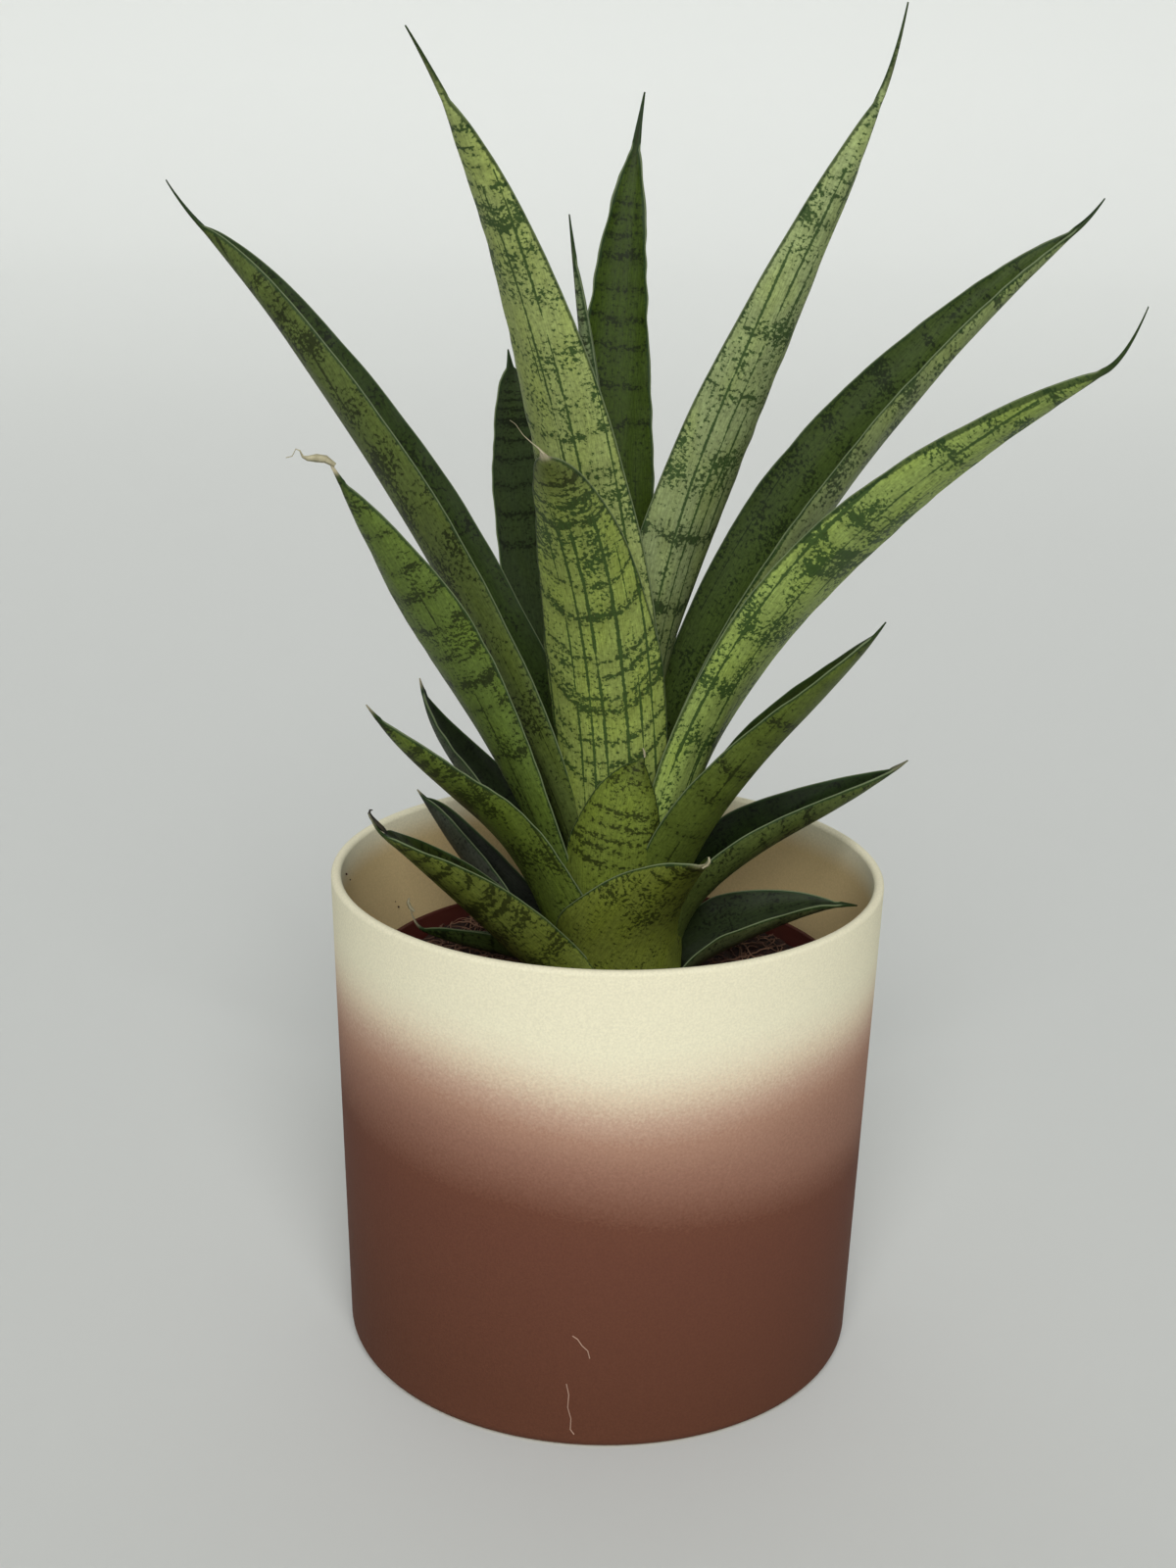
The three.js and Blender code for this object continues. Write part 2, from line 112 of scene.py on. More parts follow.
# Its noises, by their size in mm: a slow drift, the single droplets at the edge of the mist and all
# over, and the peel of the lacquer itself
DRIFT, MIST, DROPLET, PEEL = 62.5, 0.667, 0.526, 0.909
drift, grain, droplet, peel = [
    add_node(tree, "TexNoise", {"Scale": 1 / (size * MM), "Detail": 1.0},
             {"Vector": place.outputs["Object"]})
    for size in (DRIFT, MIST, DROPLET, PEEL)]
# The pink mist reaches higher towards the left and the right. A rise is where it starts, where it ends
# and how high it is, in mm. The brown under it leans up to the left by LEAN, and between the two heights
# of TURN the lean gives way to the rises.
RISES, LEAN, TURN = [(8, -54, 8.0), (6, 60, 4.5)], 0.095, (64, 84)
left_rise, right_rise = [
    add_node(tree, "MapRange", {"interpolation_type": "SMOOTHSTEP", "From Min": middle * MM,
                                "From Max": side * MM, "To Max": -rise * MM}, {"Value": axes.outputs["X"]})
    for middle, side, rise in RISES]
pink_shift = add_node(tree, "Math", {"operation": "ADD"}, {0: left_rise, 1: right_rise})
brown_shift = add_node(tree, "Math", {"operation": "MULTIPLY", 1: LEAN}, {0: axes.outputs["X"]})
upper = add_node(tree, "MapRange", {"interpolation_type": "SMOOTHSTEP", "From Min": TURN[0] * MM,
                                    "From Max": TURN[1] * MM}, {"Value": axes.outputs["Z"]})
shift = add_node(tree, "MapRange", links={"Value": upper, "To Min": brown_shift, "To Max": pink_shift})
# The drift moves the colours by up to 2.2 mm either way, and the droplets by up to 3 mm
wander, mist = [add_node(tree, "MapRange", {"To Min": -most * MM, "To Max": most * MM}, {"Value": pattern})
                for pattern, most in ((drift, 2.2), (grain, 3.0))]
level = axes.outputs["Z"]
for part in (shift, wander, mist):
    level = add_node(tree, "Math", {"operation": "ADD"}, {0: level, 1: part})
# The colours of the spray, by height in mm on the wall. The brown darkens a little towards the foot:
# painted shade near the floor.
SPRAY_SPAN = 120
SPRAY = [(8, "#5C3829"), (52, "#663F31"), (60, "#694233"), (66, "#7C5646"), (73, "#906A59"),
         (80, "#A6816D"), (86, "#BD9F8A"), (92, "#D7C5AB"), (97, "#E2D8BD"), (103, "#E6E0C4")]
up_wall = add_node(tree, "MapRange", {"From Max": SPRAY_SPAN * MM}, {"Value": level})
spray = add_node(tree, "ValToRGB", links={"Fac": up_wall})
for stop, (height, code) in enumerate(SPRAY):
    share, stops = height / SPRAY_SPAN, spray.color_ramp.elements
    mark = stops[stop] if stop < 2 else stops.new(share)
    mark.position, mark.color = share, hex_colour(code)
# Inside, the cream thins out below the lip and the wall turns a darker beige: partly the beige of the
# moulding, and partly painted shade of the pot's inside.
flat = add_node(tree, "CombineXYZ", links={"X": axes.outputs["X"], "Y": axes.outputs["Y"]})
reach = add_node(tree, "VectorMath", {"operation": "LENGTH"}, {0: flat})
wall = add_node(tree, "Math", {"operation": "MULTIPLY_ADD", 1: -(COVER_TOP - COVER_FOOT) / COVER_HEIGHT},
                {0: axes.outputs["Z"], 2: reach.outputs["Value"]})
inside = add_node(tree, "MapRange", {"From Min": (COVER_FOOT - 1.0) * MM,
                                     "From Max": (COVER_FOOT - 1.8) * MM}, {"Value": wall})
below_lip = add_node(tree, "MapRange", {
    "interpolation_type": "SMOOTHSTEP", "From Min": (COVER_HEIGHT - 0.5) * MM,
    "From Max": (COVER_HEIGHT - 10) * MM}, {"Value": axes.outputs["Z"]})
inner_beige_and_shade = add_node(tree, "Math", {"operation": "MULTIPLY"}, {0: inside, 1: below_lip})
colour = add_node(tree, "MixRGB", {"Color2": hex_colour("#CCB586")},
                  {"Fac": inner_beige_and_shade, "Color1": spray.outputs["Color"]})
# Single droplets, about half a millimetre across, stay a shade lighter or darker than the rest
shade = add_node(tree, "MapRange", {"From Min": 0.3, "From Max": 0.7, "To Min": 0.945, "To Max": 1.055},
                 {"Value": droplet})
grained = add_node(tree, "VectorMath", {"operation": "SCALE"}, {0: colour, "Scale": shade})
tree.links.new(grained.outputs[0], shader.inputs["Base Color"])
bump = add_node(tree, "Bump", {"Strength": 0.25, "Distance": 0.0002}, {"Height": peel})
tree.links.new(bump.outputs[0], shader.inputs["Normal"])
shader.inputs["Roughness"].default_value = 0.75
shader.inputs["IOR"].default_value = 1.48
shader.inputs["Specular IOR Level"].default_value = 0.12

cover_profile = [
    (0, 0), (COVER_FOOT, 0), (COVER_TOP, COVER_HEIGHT), (COVER_TOP - COVER_WALL, COVER_HEIGHT),
    (COVER_FOOT - COVER_WALL + 0.1, COVER_FLOOR), (0, COVER_FLOOR),
]
place_piece(
    "cover_pot_sprayed", turned_wall(cover_profile, {1: (3, 6), 2: (1.2, 5), 3: (1.2, 5), 4: (2, 4)}, 160),
    lacquer, ["cover_pot"])

# Nursery pot: a thin cup of red-brown polypropylene with a stiff collar, a foot ring and six drain
# holes punched through its floor. It stands loose in the cover pot.
NURSERY_RIM, NURSERY_TOP, NURSERY_COLLAR, NURSERY_FOOT = 59.5, 95.5, 86.5, 44
NURSERY_STAND, NURSERY_FLOOR_TOP, NURSERY_WALL = 3.3, 6.8, 1.2
DRAIN_HOLES, DRAIN_RADIUS, DRAIN_CIRCLE = 6, 4.5, 27
nursery_profile = [
    (0, NURSERY_FLOOR_TOP - 1.5), (NURSERY_FOOT - 6, NURSERY_FLOOR_TOP - 1.5),
    (NURSERY_FOOT - 4, NURSERY_STAND), (NURSERY_FOOT, NURSERY_STAND),
    (NURSERY_RIM - 2, NURSERY_COLLAR), (NURSERY_RIM - 0.6, NURSERY_COLLAR),
    (NURSERY_RIM, NURSERY_TOP), (NURSERY_RIM - NURSERY_WALL, NURSERY_TOP),
    (NURSERY_RIM - NURSERY_WALL - 0.6, NURSERY_COLLAR + NURSERY_WALL), (NURSERY_RIM - 3.2, NURSERY_COLLAR),
    (NURSERY_FOOT - 0.7, NURSERY_FLOOR_TOP), (0, NURSERY_FLOOR_TOP),
]
nursery_bm = turned_wall(nursery_profile, {3: (1.0, 3), 6: (0.5, 3), 7: (0.4, 3)}, 128)


def cut_holes(piece, centres, radius, low, high):
    """Cuts round holes along Z through a piece, all in mm, and leaves no modifier on it."""
    bm = bmesh.new()
    for x, y in centres:
        made = bmesh.ops.create_cone(bm, cap_ends=True, segments=24, radius1=radius * MM,
                                     radius2=radius * MM, depth=(high - low) * MM)
        bmesh.ops.translate(bm, verts=made["verts"], vec=(x * MM, y * MM, (low + high) / 2 * MM))
    mesh = bpy.data.meshes.new("punch")
    bm.to_mesh(mesh)
    bm.free()
    punch = bpy.data.objects.new("punch", mesh)
    bpy.context.collection.objects.link(punch)
    cut = piece.modifiers.new("holes", "BOOLEAN")
    cut.object, cut.solver, cut.operation = punch, "EXACT", "DIFFERENCE"
    bpy.context.view_layer.update()
    made = bpy.data.meshes.new_from_object(piece.evaluated_get(bpy.context.evaluated_depsgraph_get()))
    piece.modifiers.clear()
    piece.data = made
    bpy.data.objects.remove(punch)


def mottled_material(name, dark, light, size, octaves, roughness=0.5, span=(0, 1)):
    """A material that wanders between two colours with a noise of that size in mm, and with those octaves
    and their roughness. span is the noise's value where each colour is pure."""
    material, tree, shader = new_material(name)
    place = add_node(tree, "TexCoord")
    mottle = add_node(tree, "TexNoise", {"Scale": 1 / (size * MM), "Detail": octaves,
                                         "Roughness": roughness}, {"Vector": place.outputs["Object"]})
    share = add_node(tree, "MapRange", {"From Min": span[0], "From Max": span[1]}, {"Value": mottle})
    tone = add_node(tree, "MixRGB", {"Color1": hex_colour(dark), "Color2": hex_colour(light)},
                    {"Fac": share})
    tree.links.new(tone.outputs[0], shader.inputs["Base Color"])
    return material, tree, shader, mottle


# Moulded polypropylene: satin, and a little scuffed. Its red-brown is darker than the plastic's own: partly
# painted shade of its place deep in the cover pot.
polypropylene, tree, shader, scuff = mottled_material(
    "moulded_terracotta_polypropylene", "#3A120C", "#521B12", 16.7, 5.0)
rough = add_node(tree, "MapRange", {"To Min": 0.38, "To Max": 0.62}, {"Value": scuff})
tree.links.new(rough.outputs[0], shader.inputs["Roughness"])
shader.inputs["IOR"].default_value = 1.49

nursery_pot = place_piece("nursery_pot_moulded", nursery_bm, polypropylene, ["nursery_pot"])
drain_turns = [hole * 2 * math.pi / DRAIN_HOLES for hole in range(DRAIN_HOLES)]
drain_centres = [(DRAIN_CIRCLE * math.cos(turn), DRAIN_CIRCLE * math.sin(turn)) for turn in drain_turns]
cut_holes(nursery_pot, drain_centres, DRAIN_RADIUS, 2, 12)

# Compost: coarse coir, heaped a little unevenly to just under the nursery pot's rim. Lumps of husk
# and curly fibres lie loose on it, and the crown of the plant stands in a hole in the middle.
COMPOST_TOP, COMPOST_EDGE, COMPOST_BOTTOM, COMPOST_RINGS = 92, 55.9, 7.1, 56
CROWN_X, CROWN_Y, CROWN_HOLE, CROWN_HOLE_FLOOR = 3, 2, 14, 65.7
HUSK_LUMPS, FIBRES, LOOSE_REACH = 900, 900, 54


def compost_height(x, y):
    """The height of the compost's surface above the ground, in mm, at x and y in mm."""
    heaps = 0.7 * math.sin(x / 11 + 0.8) * math.cos(y / 13 - 0.4)
    lumps = 0.45 * math.sin(x / 3.7 + y / 5.1) * math.sin(y / 4.3 - x / 6.2)
    crumbs = 0.9 * noise.noise((x / 2.3, y / 2.3, 4.0)) + 0.5 * noise.noise((x / 0.9, y / 0.9, 9.0))
    return COMPOST_TOP + heaps + lumps + crumbs - 0.3


compost_profile = [(0, COMPOST_BOTTOM), (NURSERY_FOOT - 1.6, COMPOST_BOTTOM),
                   (COMPOST_EDGE, NURSERY_COLLAR)]
compost_profile += [(COMPOST_EDGE * (1 - ring / COMPOST_RINGS), COMPOST_TOP)
                    for ring in range(COMPOST_RINGS + 1)]
compost_bm = turned_wall(compost_profile, {}, 200)
for vert in compost_bm.verts:
    if vert.co.z > (NURSERY_COLLAR + 1) * MM:
        vert.co.z = compost_height(vert.co.x / MM, vert.co.y / MM) * MM
crown_at = Vector((CROWN_X * MM, CROWN_Y * MM))
in_hole = [face for face in compost_bm.faces if face.normal.z > 0.2
           and (face.calc_center_median().xy - crown_at).length < CROWN_HOLE * MM]
bmesh.ops.delete(compost_bm, geom=in_hole, context="FACES")
rim = [edge for edge in compost_bm.edges if edge.is_boundary]
walls = bmesh.ops.extrude_edge_only(compost_bm, edges=rim)["geom"]
foot = [item for item in walls if isinstance(item, bmesh.types.BMVert)]
for vert in foot:
    vert.co.z = CROWN_HOLE_FLOOR * MM
bmesh.ops.holes_fill(compost_bm, edges=[edge for edge in compost_bm.edges if edge.is_boundary], sides=0)
bmesh.ops.recalc_face_normals(compost_bm, faces=compost_bm.faces[:])

# Moist coir: dull and red-brown. The colour follows the bump, so the hollows between the lumps are nearly
# black: partly the coir's own dark and partly painted shade.
coir, tree, shader, lump = mottled_material(
    "moist_coir_compost", "#120805", "#4A281D", 2.38, 6.0, roughness=0.7, span=(0.40, 0.68))
bump = add_node(tree, "Bump", {"Strength": 0.8, "Distance": 0.001}, {"Height": lump})
tree.links.new(bump.outputs[0], shader.inputs["Normal"])
shader.inputs["Roughness"].default_value = 0.95
place_piece("compost_coir", compost_bm, coir, ["compost"])

rng = random.Random(4)


def spot_on_compost():
    """A random place on the compost, in mm, clear of the crown and of the pot's wall."""
    while True:
        x, y = rng.uniform(-LOOSE_REACH, LOOSE_REACH), rng.uniform(-LOOSE_REACH, LOOSE_REACH)
        if math.hypot(x, y) < LOOSE_REACH and math.hypot(x - CROWN_X, y - CROWN_Y) > CROWN_HOLE + 1:
            return x, y


husk_bm = bmesh.new()
for _ in range(HUSK_LUMPS):
    x, y = spot_on_compost()
    size = rng.uniform(0.5, 1.7)
    turn = Matrix.Rotation(rng.uniform(0, 6.3), 3, "Z") @ Matrix.Rotation(rng.uniform(-0.5, 0.5), 3, "X")
    shape = Matrix.Diagonal((size, size * rng.uniform(0.35, 0.8), size * rng.uniform(0.3, 0.6)))
    lump = bmesh.ops.create_icosphere(husk_bm, subdivisions=1, radius=1.0, matrix=Matrix.Identity(4))
    for vert in lump["verts"]:
        point = turn @ (shape @ vert.co)
        point += 0.25 * size * Vector((rng.uniform(-1, 1), rng.uniform(-1, 1), rng.uniform(-1, 1)))
        vert.co = (point + Vector((x, y, compost_height(x, y) + 0.1))) * MM
bmesh.ops.recalc_face_normals(husk_bm, faces=husk_bm.faces[:])
place_piece("coir_husk_lumps", husk_bm, coir, [])

# Dry coir fibre: wiry, dull, pinkish brown, lighter than the compost under it
fibre, tree, shader, _ = mottled_material("dry_coir_fibre", "#4A2A1E", "#A07A62", 8.33, 2.0,
                                          span=(0.35, 0.7))
shader.inputs["Roughness"].default_value = 0.8


def strands_piece(name, strands, material):
    """Makes round tapered strands, each a list of (point in mm, radius in mm), one mesh piece."""
    curve = bpy.data.curves.new(name, "CURVE")
    curve.dimensions, curve.bevel_depth, curve.bevel_resolution, curve.use_fill_caps = "3D", MM, 0, True
    for strand in strands:
        spline = curve.splines.new("POLY")
        spline.points.add(len(strand) - 1)
        for point, (where, radius) in zip(spline.points, strand):
            point.co = (*(Vector(where) * MM), 1)
            point.radius = radius
    draft = bpy.data.objects.new(name + "_draft", curve)
    bpy.context.collection.objects.link(draft)
    bpy.context.view_layer.update()
    mesh = bpy.data.meshes.new_from_object(draft.evaluated_get(bpy.context.evaluated_depsgraph_get()))
    bpy.data.objects.remove(draft)
    bm = bmesh.new()
    bm.from_mesh(mesh)
    return place_piece(name, bm, material, [])


def curly_fibre(x, y, length, lift):
    """A fibre that starts on the compost at x, y and curls along it or up from it."""
    heading, curl = rng.uniform(0, 2 * math.pi), rng.uniform(-0.35, 0.35)
    thickness = rng.uniform(0.10, 0.24)
    strand, steps = [], 9
    for step in range(steps + 1):
        share = step / steps
        rise = lift * math.sin(share * math.pi * rng.uniform(0.85, 1.0)) + 0.25
        strand.append(((x, y, compost_height(x, y) + rise), thickness * (1 - 0.7 * abs(share - 0.4))))
        heading += curl + rng.uniform(-0.25, 0.25)
        x += length / steps * math.cos(heading)
        y += length / steps * math.sin(heading)
        if math.hypot(x, y) > LOOSE_REACH + 1:
            break
    return strand


fibres = [curly_fibre(*spot_on_compost(), rng.uniform(5, 16), rng.uniform(0, 2.2)) for _ in range(FIBRES)]
strands_piece("coir_fibres", [strand for strand in fibres if len(strand) > 2], fibre)

# Crown: the short fleshy stem that every leaf clasps. Its skin is pale, with brown scars in rings
# where the oldest leaves were.
crown_profile = [(0, 66), (6.75, 66), (13.5, 74), (13.5, 95), (9.5, 108), (5.5, 123), (2, 135), (0, 135)]
crown_bm = turned_wall(crown_profile, {2: (3, 4), 3: (3, 4)}, 64)
bmesh.ops.translate(crown_bm, verts=crown_bm.verts[:], vec=(CROWN_X * MM, CROWN_Y * MM, 0))
# The scars lie 3.5 mm apart. A wave texture turns 20 / 2 pi times as often as its scale says.
SCAR_GAP = 3.5
stem, tree, shader = new_material("fleshy_plant_stem")
place = add_node(tree, "TexCoord")
scar = add_node(tree, "TexWave", {"bands_direction": "Z", "Scale": math.pi / 10 / (SCAR_GAP * MM),
                                  "Distortion": 3.0, "Detail": 3.0}, {"Vector": place.outputs["Object"]})
tone = add_node(tree, "MixRGB", {"Color1": hex_colour("#6E5A3A"), "Color2": hex_colour("#A9A772")},
                {"Fac": scar.outputs["Fac"]})
tree.links.new(tone.outputs[0], shader.inputs["Base Color"])
shader.inputs["Roughness"].default_value = 0.6
place_piece("crown_stem", crown_bm, stem, ["crown"])

# Leaves: stiff, fleshy blades, each a strip bent up round its midrib and drawn out into an awn. They
# grow in a close spiral, and each clasps the crown at its foot.

# One row a leaf, from the heart outwards, in mm and degrees, with the same measures as the solids.
# foot, lower, upper and tip are places on the midrib, as (outward, height, sideways), and points and
# grows the ways that its tip and its foot face. base is its breadth at the foot, and width the most it
# has, at the share belly of its length, where it is thick. fold, tipFold and roll bend the blade. awn
# is the length of its thin end, hook how far that lifts, and blunt and wave shape the margin.
# outer and inner are the skin of its back and its face. The inner colours, and both colours of the lowest
# leaves, are darker than the leaf's own green by painted shade of the leaves above them. tone is how light
# it is at the foot and the tip: painted shade on a foot under other leaves and painted light on a blade
# that faces the light, with some of the leaf's own change of colour. rim is the width of its dark border,
# dark how far below the awn it darkens, and dry how long and how pale its withered end is. bands, streaks
# and specks are the strengths of its markings. rungs, bold and loose are the places of its thin, bold and
# scattered bands, from the foot, bow is their sag, and even how unbroken they are. lines are the places of
# its heavy streaks, from the midrib.
LEAVES = [
    dict(name="leaf_01_heart", points=180, foot=(4.6, 131), lower=(7, 192), upper=(11, 243),
         tip=(15, 278), base=13, width=17, belly=0.4, fold=150, tipFold=150, thick=2.2, awn=16,
         outer="#74835A", inner="#33431E",
         bands=0.9, streaks=0.2, specks=0.5),
    dict(name="leaf_02_back", points=92, foot=(5.6, 127), lower=(14, 185, 3), upper=(26, 245, 3),
         tip=(40, 304, -3), base=17, width=22, belly=0.5, fold=70, tipFold=100, thick=2.4, awn=12,
         blunt=0.6, wave=0.5,
         outer="#7E9450", inner="#364712", tone=(0.9, 1.0),
         bands=0.8, even=0.7, rungs=(154, 151, 147, 134, 127, 121, 112, 103), bold=(142,), streaks=0.2,
         specks=0.5),
    dict(name="leaf_03_front_left", points=-128, foot=(6.8, 124), lower=(13, 190), upper=(38, 260),
         tip=(75, 317), base=20, width=32, belly=0.36, fold=70, tipFold=90, thick=2.6, awn=18,
         outer="#9DAA66", inner="#3C4E22", tone=(0.80, 1.06), dark=3,
         bands=0.9, rungs=(177, 173, 168, 163, 110), bold=(182, 159, 152, 101),
         loose=(161, 149, 143, 129, 117, 95, 89, 75), streaks=0.5, lines=(0.4, 4.1, 99), specks=0.6),
    dict(name="leaf_04_front_right", points=-22, foot=(7.6, 121), lower=(12, 195), upper=(37, 263),
         tip=(60, 318), base=21, width=26, belly=0.36, fold=70, tipFold=100, roll=35, thick=2.6, awn=18,
         hook=6,
         outer="#9DAB74", inner="#42542A", tone=(0.55, 1.0), dark=3,
         bands=0.85, rungs=(184, 181, 166, 162, 127, 113), bold=(155, 79, 63),
         loose=(164, 129, 119, 112, 98, 92, 56), streaks=0.4, lines=(-1, -4.6, 2.2), specks=0.7),
    dict(name="leaf_05_back_left", points=124, foot=(8, 120), lower=(36, 170), upper=(49, 212),
         tip=(55, 242), base=20, width=22, belly=0.6, fold=60, tipFold=70, thick=2.4, awn=8, blunt=0.5,
         outer="#5E7440", inner="#323F22",
         bands=1.0, even=0.8, rungs=(118, 114, 111, 108, 98, 92, 84, 76, 68), bold=(104,), streaks=0.0,
         specks=0.4),
    dict(name="leaf_06_right", points=8, foot=(8.8, 117), lower=(29.5, 183), upper=(68, 240),
         tip=(109, 281), base=23, width=37, belly=0.49, fold=165, tipFold=180, roll=-13, thick=2.8,
         awn=10, hook=2, blunt=0.85,
         outer="#7D8A58", inner="#3C4C20",
         bands=1.0, rungs=(181, 168, 157, 140), loose=(126, 119, 109, 99, 88), streaks=0.2, specks=0.9),
    dict(name="leaf_07_left", points=169, foot=(9.1, 116), lower=(34.5, 174), upper=(76, 238.5),
         tip=(112, 279.5), base=23, width=37, belly=0.52, fold=165, tipFold=180, roll=-8, thick=2.8,
         awn=18, hook=3, blunt=0.65,
         outer="#556230", inner="#2C3C14",
         bands=0.8, rungs=(176, 154), bold=(147, 144), loose=(164, 134, 117, 107, 95, 84), streaks=0.3,
         specks=0.9),
    dict(name="leaf_08_right", points=-24, foot=(10.8, 110), lower=(34, 181), upper=(76, 228),
         tip=(116, 256), base=22, width=26, belly=0.4, fold=60, tipFold=80, roll=32, thick=2.8, awn=14,
         hook=9,
         outer="#889A52", inner="#3C5020", tone=(1.3, 1.0), rim=1.1,
         bands=1.15, rungs=(128, 99), bold=(157, 102, 93, 90, 87), loose=(146, 141, 106, 71, 67, 52, 40),
         streaks=0.5, lines=(2.2, -2.6, 99), specks=0.8),
    dict(name="leaf_09_front", points=-100, foot=(10.3, 112), lower=(14, 154, -1), upper=(29, 197, -4),
         tip=(58, 234, -9), base=26, width=30, belly=0.5, fold=80, tipFold=100, thick=2.8, awn=3,
         blunt=0.5,
         outer="#86944C", inner="#4A5E2C", tone=(1.04, 1.08), dark=16, dry=(2.6, 1),
         bands=1.0, bow=0.038, even=0.75, rungs=(124, 121, 114, 93, 72, 68, 62, 50, 44, 38),
         bold=(117, 111, 84, 59), loose=(106, 100), streaks=0.8, lines=(-6, 0, 5.2), specks=0.6),
    dict(name="leaf_10_left", points=-158, foot=(11.1, 109), lower=(34, 160), upper=(54, 195),
         tip=(72, 226), base=13, width=23, belly=0.6, fold=70, tipFold=90, roll=-28, thick=2.8, awn=7,
         outer="#596B2E", inner="#33451A", tone=(1.0, 1.0), dry=(4, 1),
         bands=0.9, rungs=(125, 116, 107, 95, 75, 66, 50, 38), bold=(86, 58), streaks=0.1, specks=0.9),
    dict(name="leaf_11_right", points=-30, foot=(12.3, 105), lower=(24, 137), upper=(45.5, 166.5),
         tip=(66.5, 193.5), base=22, width=31, belly=0.44, fold=145, tipFold=80, roll=-10, thick=2.8,
         awn=5, blunt=0.6,
         outer="#566428", inner="#2A3612",
         bands=0.75, rungs=(96, 85, 64, 33), bold=(70, 54, 45), streaks=0.1, specks=0.1),
    dict(name="leaf_12_back", points=62, foot=(12.3, 105), lower=(22, 134), upper=(34, 158),
         tip=(47, 178), base=21, width=23, belly=0.42, fold=80, tipFold=110, thick=2.6, awn=4,
         outer="#5E7432", inner="#2C3C16",
         bands=0.8, streaks=0.2, specks=0.5),
    dict(name="leaf_13_left", points=160, foot=(12.5, 104), lower=(32, 130.5), upper=(46, 146.5),
         tip=(54, 164), base=20, width=21, belly=0.48, fold=125, tipFold=108, roll=-7, thick=2.4, awn=4,
         blunt=0.8,
         outer="#3A4430", inner="#1C2612", dry=(2, 0.6),
         bands=0.5, streaks=0.0, specks=0.3),
    dict(name="leaf_14_back", points=112, foot=(12.8, 103), lower=(24, 128), upper=(36, 143),
         tip=(48, 154), base=20, width=21, belly=0.42, fold=80, tipFold=100, thick=2.6, awn=4,
         outer="#5A7030", inner="#2A3A16",
         bands=0.8, streaks=0.2, specks=0.5),
    dict(name="leaf_15_front", points=-90, foot=(13.6, 101), lower=(17, 122, -1), upper=(19, 140, 0),
         tip=(19, 157, 5), base=27, width=29, belly=0.42, fold=110, tipFold=120, thick=2.8, awn=2,
         blunt=0.6,
         outer="#6A7830", inner="#3A4C1C", tone=(0.75, 1.15),
         bands=0.95, even=0.75, rungs=(41, 37, 33, 30, 26), loose=(54, 50), streaks=0.0, specks=0.6),
    dict(name="leaf_16_right", points=6, foot=(14, 99), lower=(25, 119.5), upper=(48, 135),
         tip=(70.5, 149), base=18, width=28, belly=0.47, fold=165, tipFold=145, thick=2.6, awn=4,
         blunt=0.85,
         outer="#4E5A2C", inner="#1C2A0E", dry=(4.5, 0.25),
         bands=0.6, rungs=(70, 60, 38), bold=(50, 44), loose=(64, 30), streaks=0.1, specks=0.5),
    dict(name="leaf_17_left", points=-158, foot=(14, 99), lower=(28, 130), upper=(45, 148), tip=(64, 169),
         base=33, width=30, belly=0.36, fold=70, tipFold=100, roll=-15, thick=2.8, awn=4,
         outer="#5E6E2C", inner="#2A3610", dry=(1.5, 0.6),
         bands=1.15, rungs=(61,), bold=(72, 68, 64), loose=(83, 77, 60, 55, 50, 45), streaks=0.2,
         lines=(-2, 99, 99), specks=1.1),
    dict(name="leaf_18_back", points=78, foot=(14.2, 98), lower=(20, 110), upper=(27, 120), tip=(35, 129),
         base=22, width=22, belly=0.4, fold=90, tipFold=110, thick=2.6, awn=3,
         outer="#5C7032", inner="#2A3A16",
         bands=0.7, streaks=0.1, specks=0.6),
    dict(name="leaf_19_left", points=162, foot=(14.2, 98), lower=(33, 111), upper=(45, 124),
         tip=(54, 135.5), base=15, width=20, belly=0.48, fold=160, tipFold=175, roll=-15, thick=2.4,
         awn=4, blunt=0.55,
         outer="#3E4238", inner="#272B23", dry=(1.5, 0.5),
         bands=0.2, streaks=0.0, specks=0.2),
    dict(name="leaf_20_front", points=-58, grows=-90, foot=(15.4, 95.4), lower=(17, 108, -6),
         upper=(25, 123, -2), tip=(38, 135), base=38, width=41, belly=0.35, fold=120, tipFold=110,
         thick=3, awn=2, blunt=0.6,
         outer="#5E6728", inner="#4C5A26", tone=(1.0, 1.6), dry=(2, 0.6),
         bands=0.9, rungs=(45, 42, 38), loose=(32, 26), streaks=0.0, specks=0.6),
    dict(name="leaf_21_right", points=6, foot=(15.4, 95.2), lower=(28, 102.5), upper=(44, 109),
         tip=(60, 111), base=20, width=27, belly=0.37, fold=140, tipFold=155, roll=-7, thick=2.6, awn=4,
         blunt=0.95,
         outer="#474E30", inner="#26301A",
         bands=0.8, rungs=(48, 38, 28), streaks=0.1, specks=0.8),
    dict(name="leaf_22_left", points=-152, foot=(15.6, 95.2), lower=(25.5, 102), upper=(47, 124),
         tip=(66, 142), base=30, width=33, belly=0.5, fold=165, tipFold=75, roll=-1, thick=2.8, awn=6,
         hook=3, blunt=0.5,
         outer="#667030", inner="#2A3412", dry=(2, 0.3),
         bands=1.1, rungs=(64, 60, 56, 51, 46, 38), bold=(41,), loose=(33, 24), streaks=0.0, specks=0.5),
    dict(name="leaf_23_left", points=168, foot=(15.4, 95.2), lower=(26, 96), upper=(42, 98),
         tip=(54, 101.5), base=18, width=19, belly=0.41, fold=120, tipFold=130, roll=-22, thick=2.4,
         awn=5, hook=4, blunt=0.6,
         outer="#3C4A22", inner="#28361A", dry=(3, 0.6),
         bands=0.8, streaks=0.0, specks=0.6),
]

# A leaf with no heavy streaks has them far beside its blade
NO_LINES = (99, 99, 99)
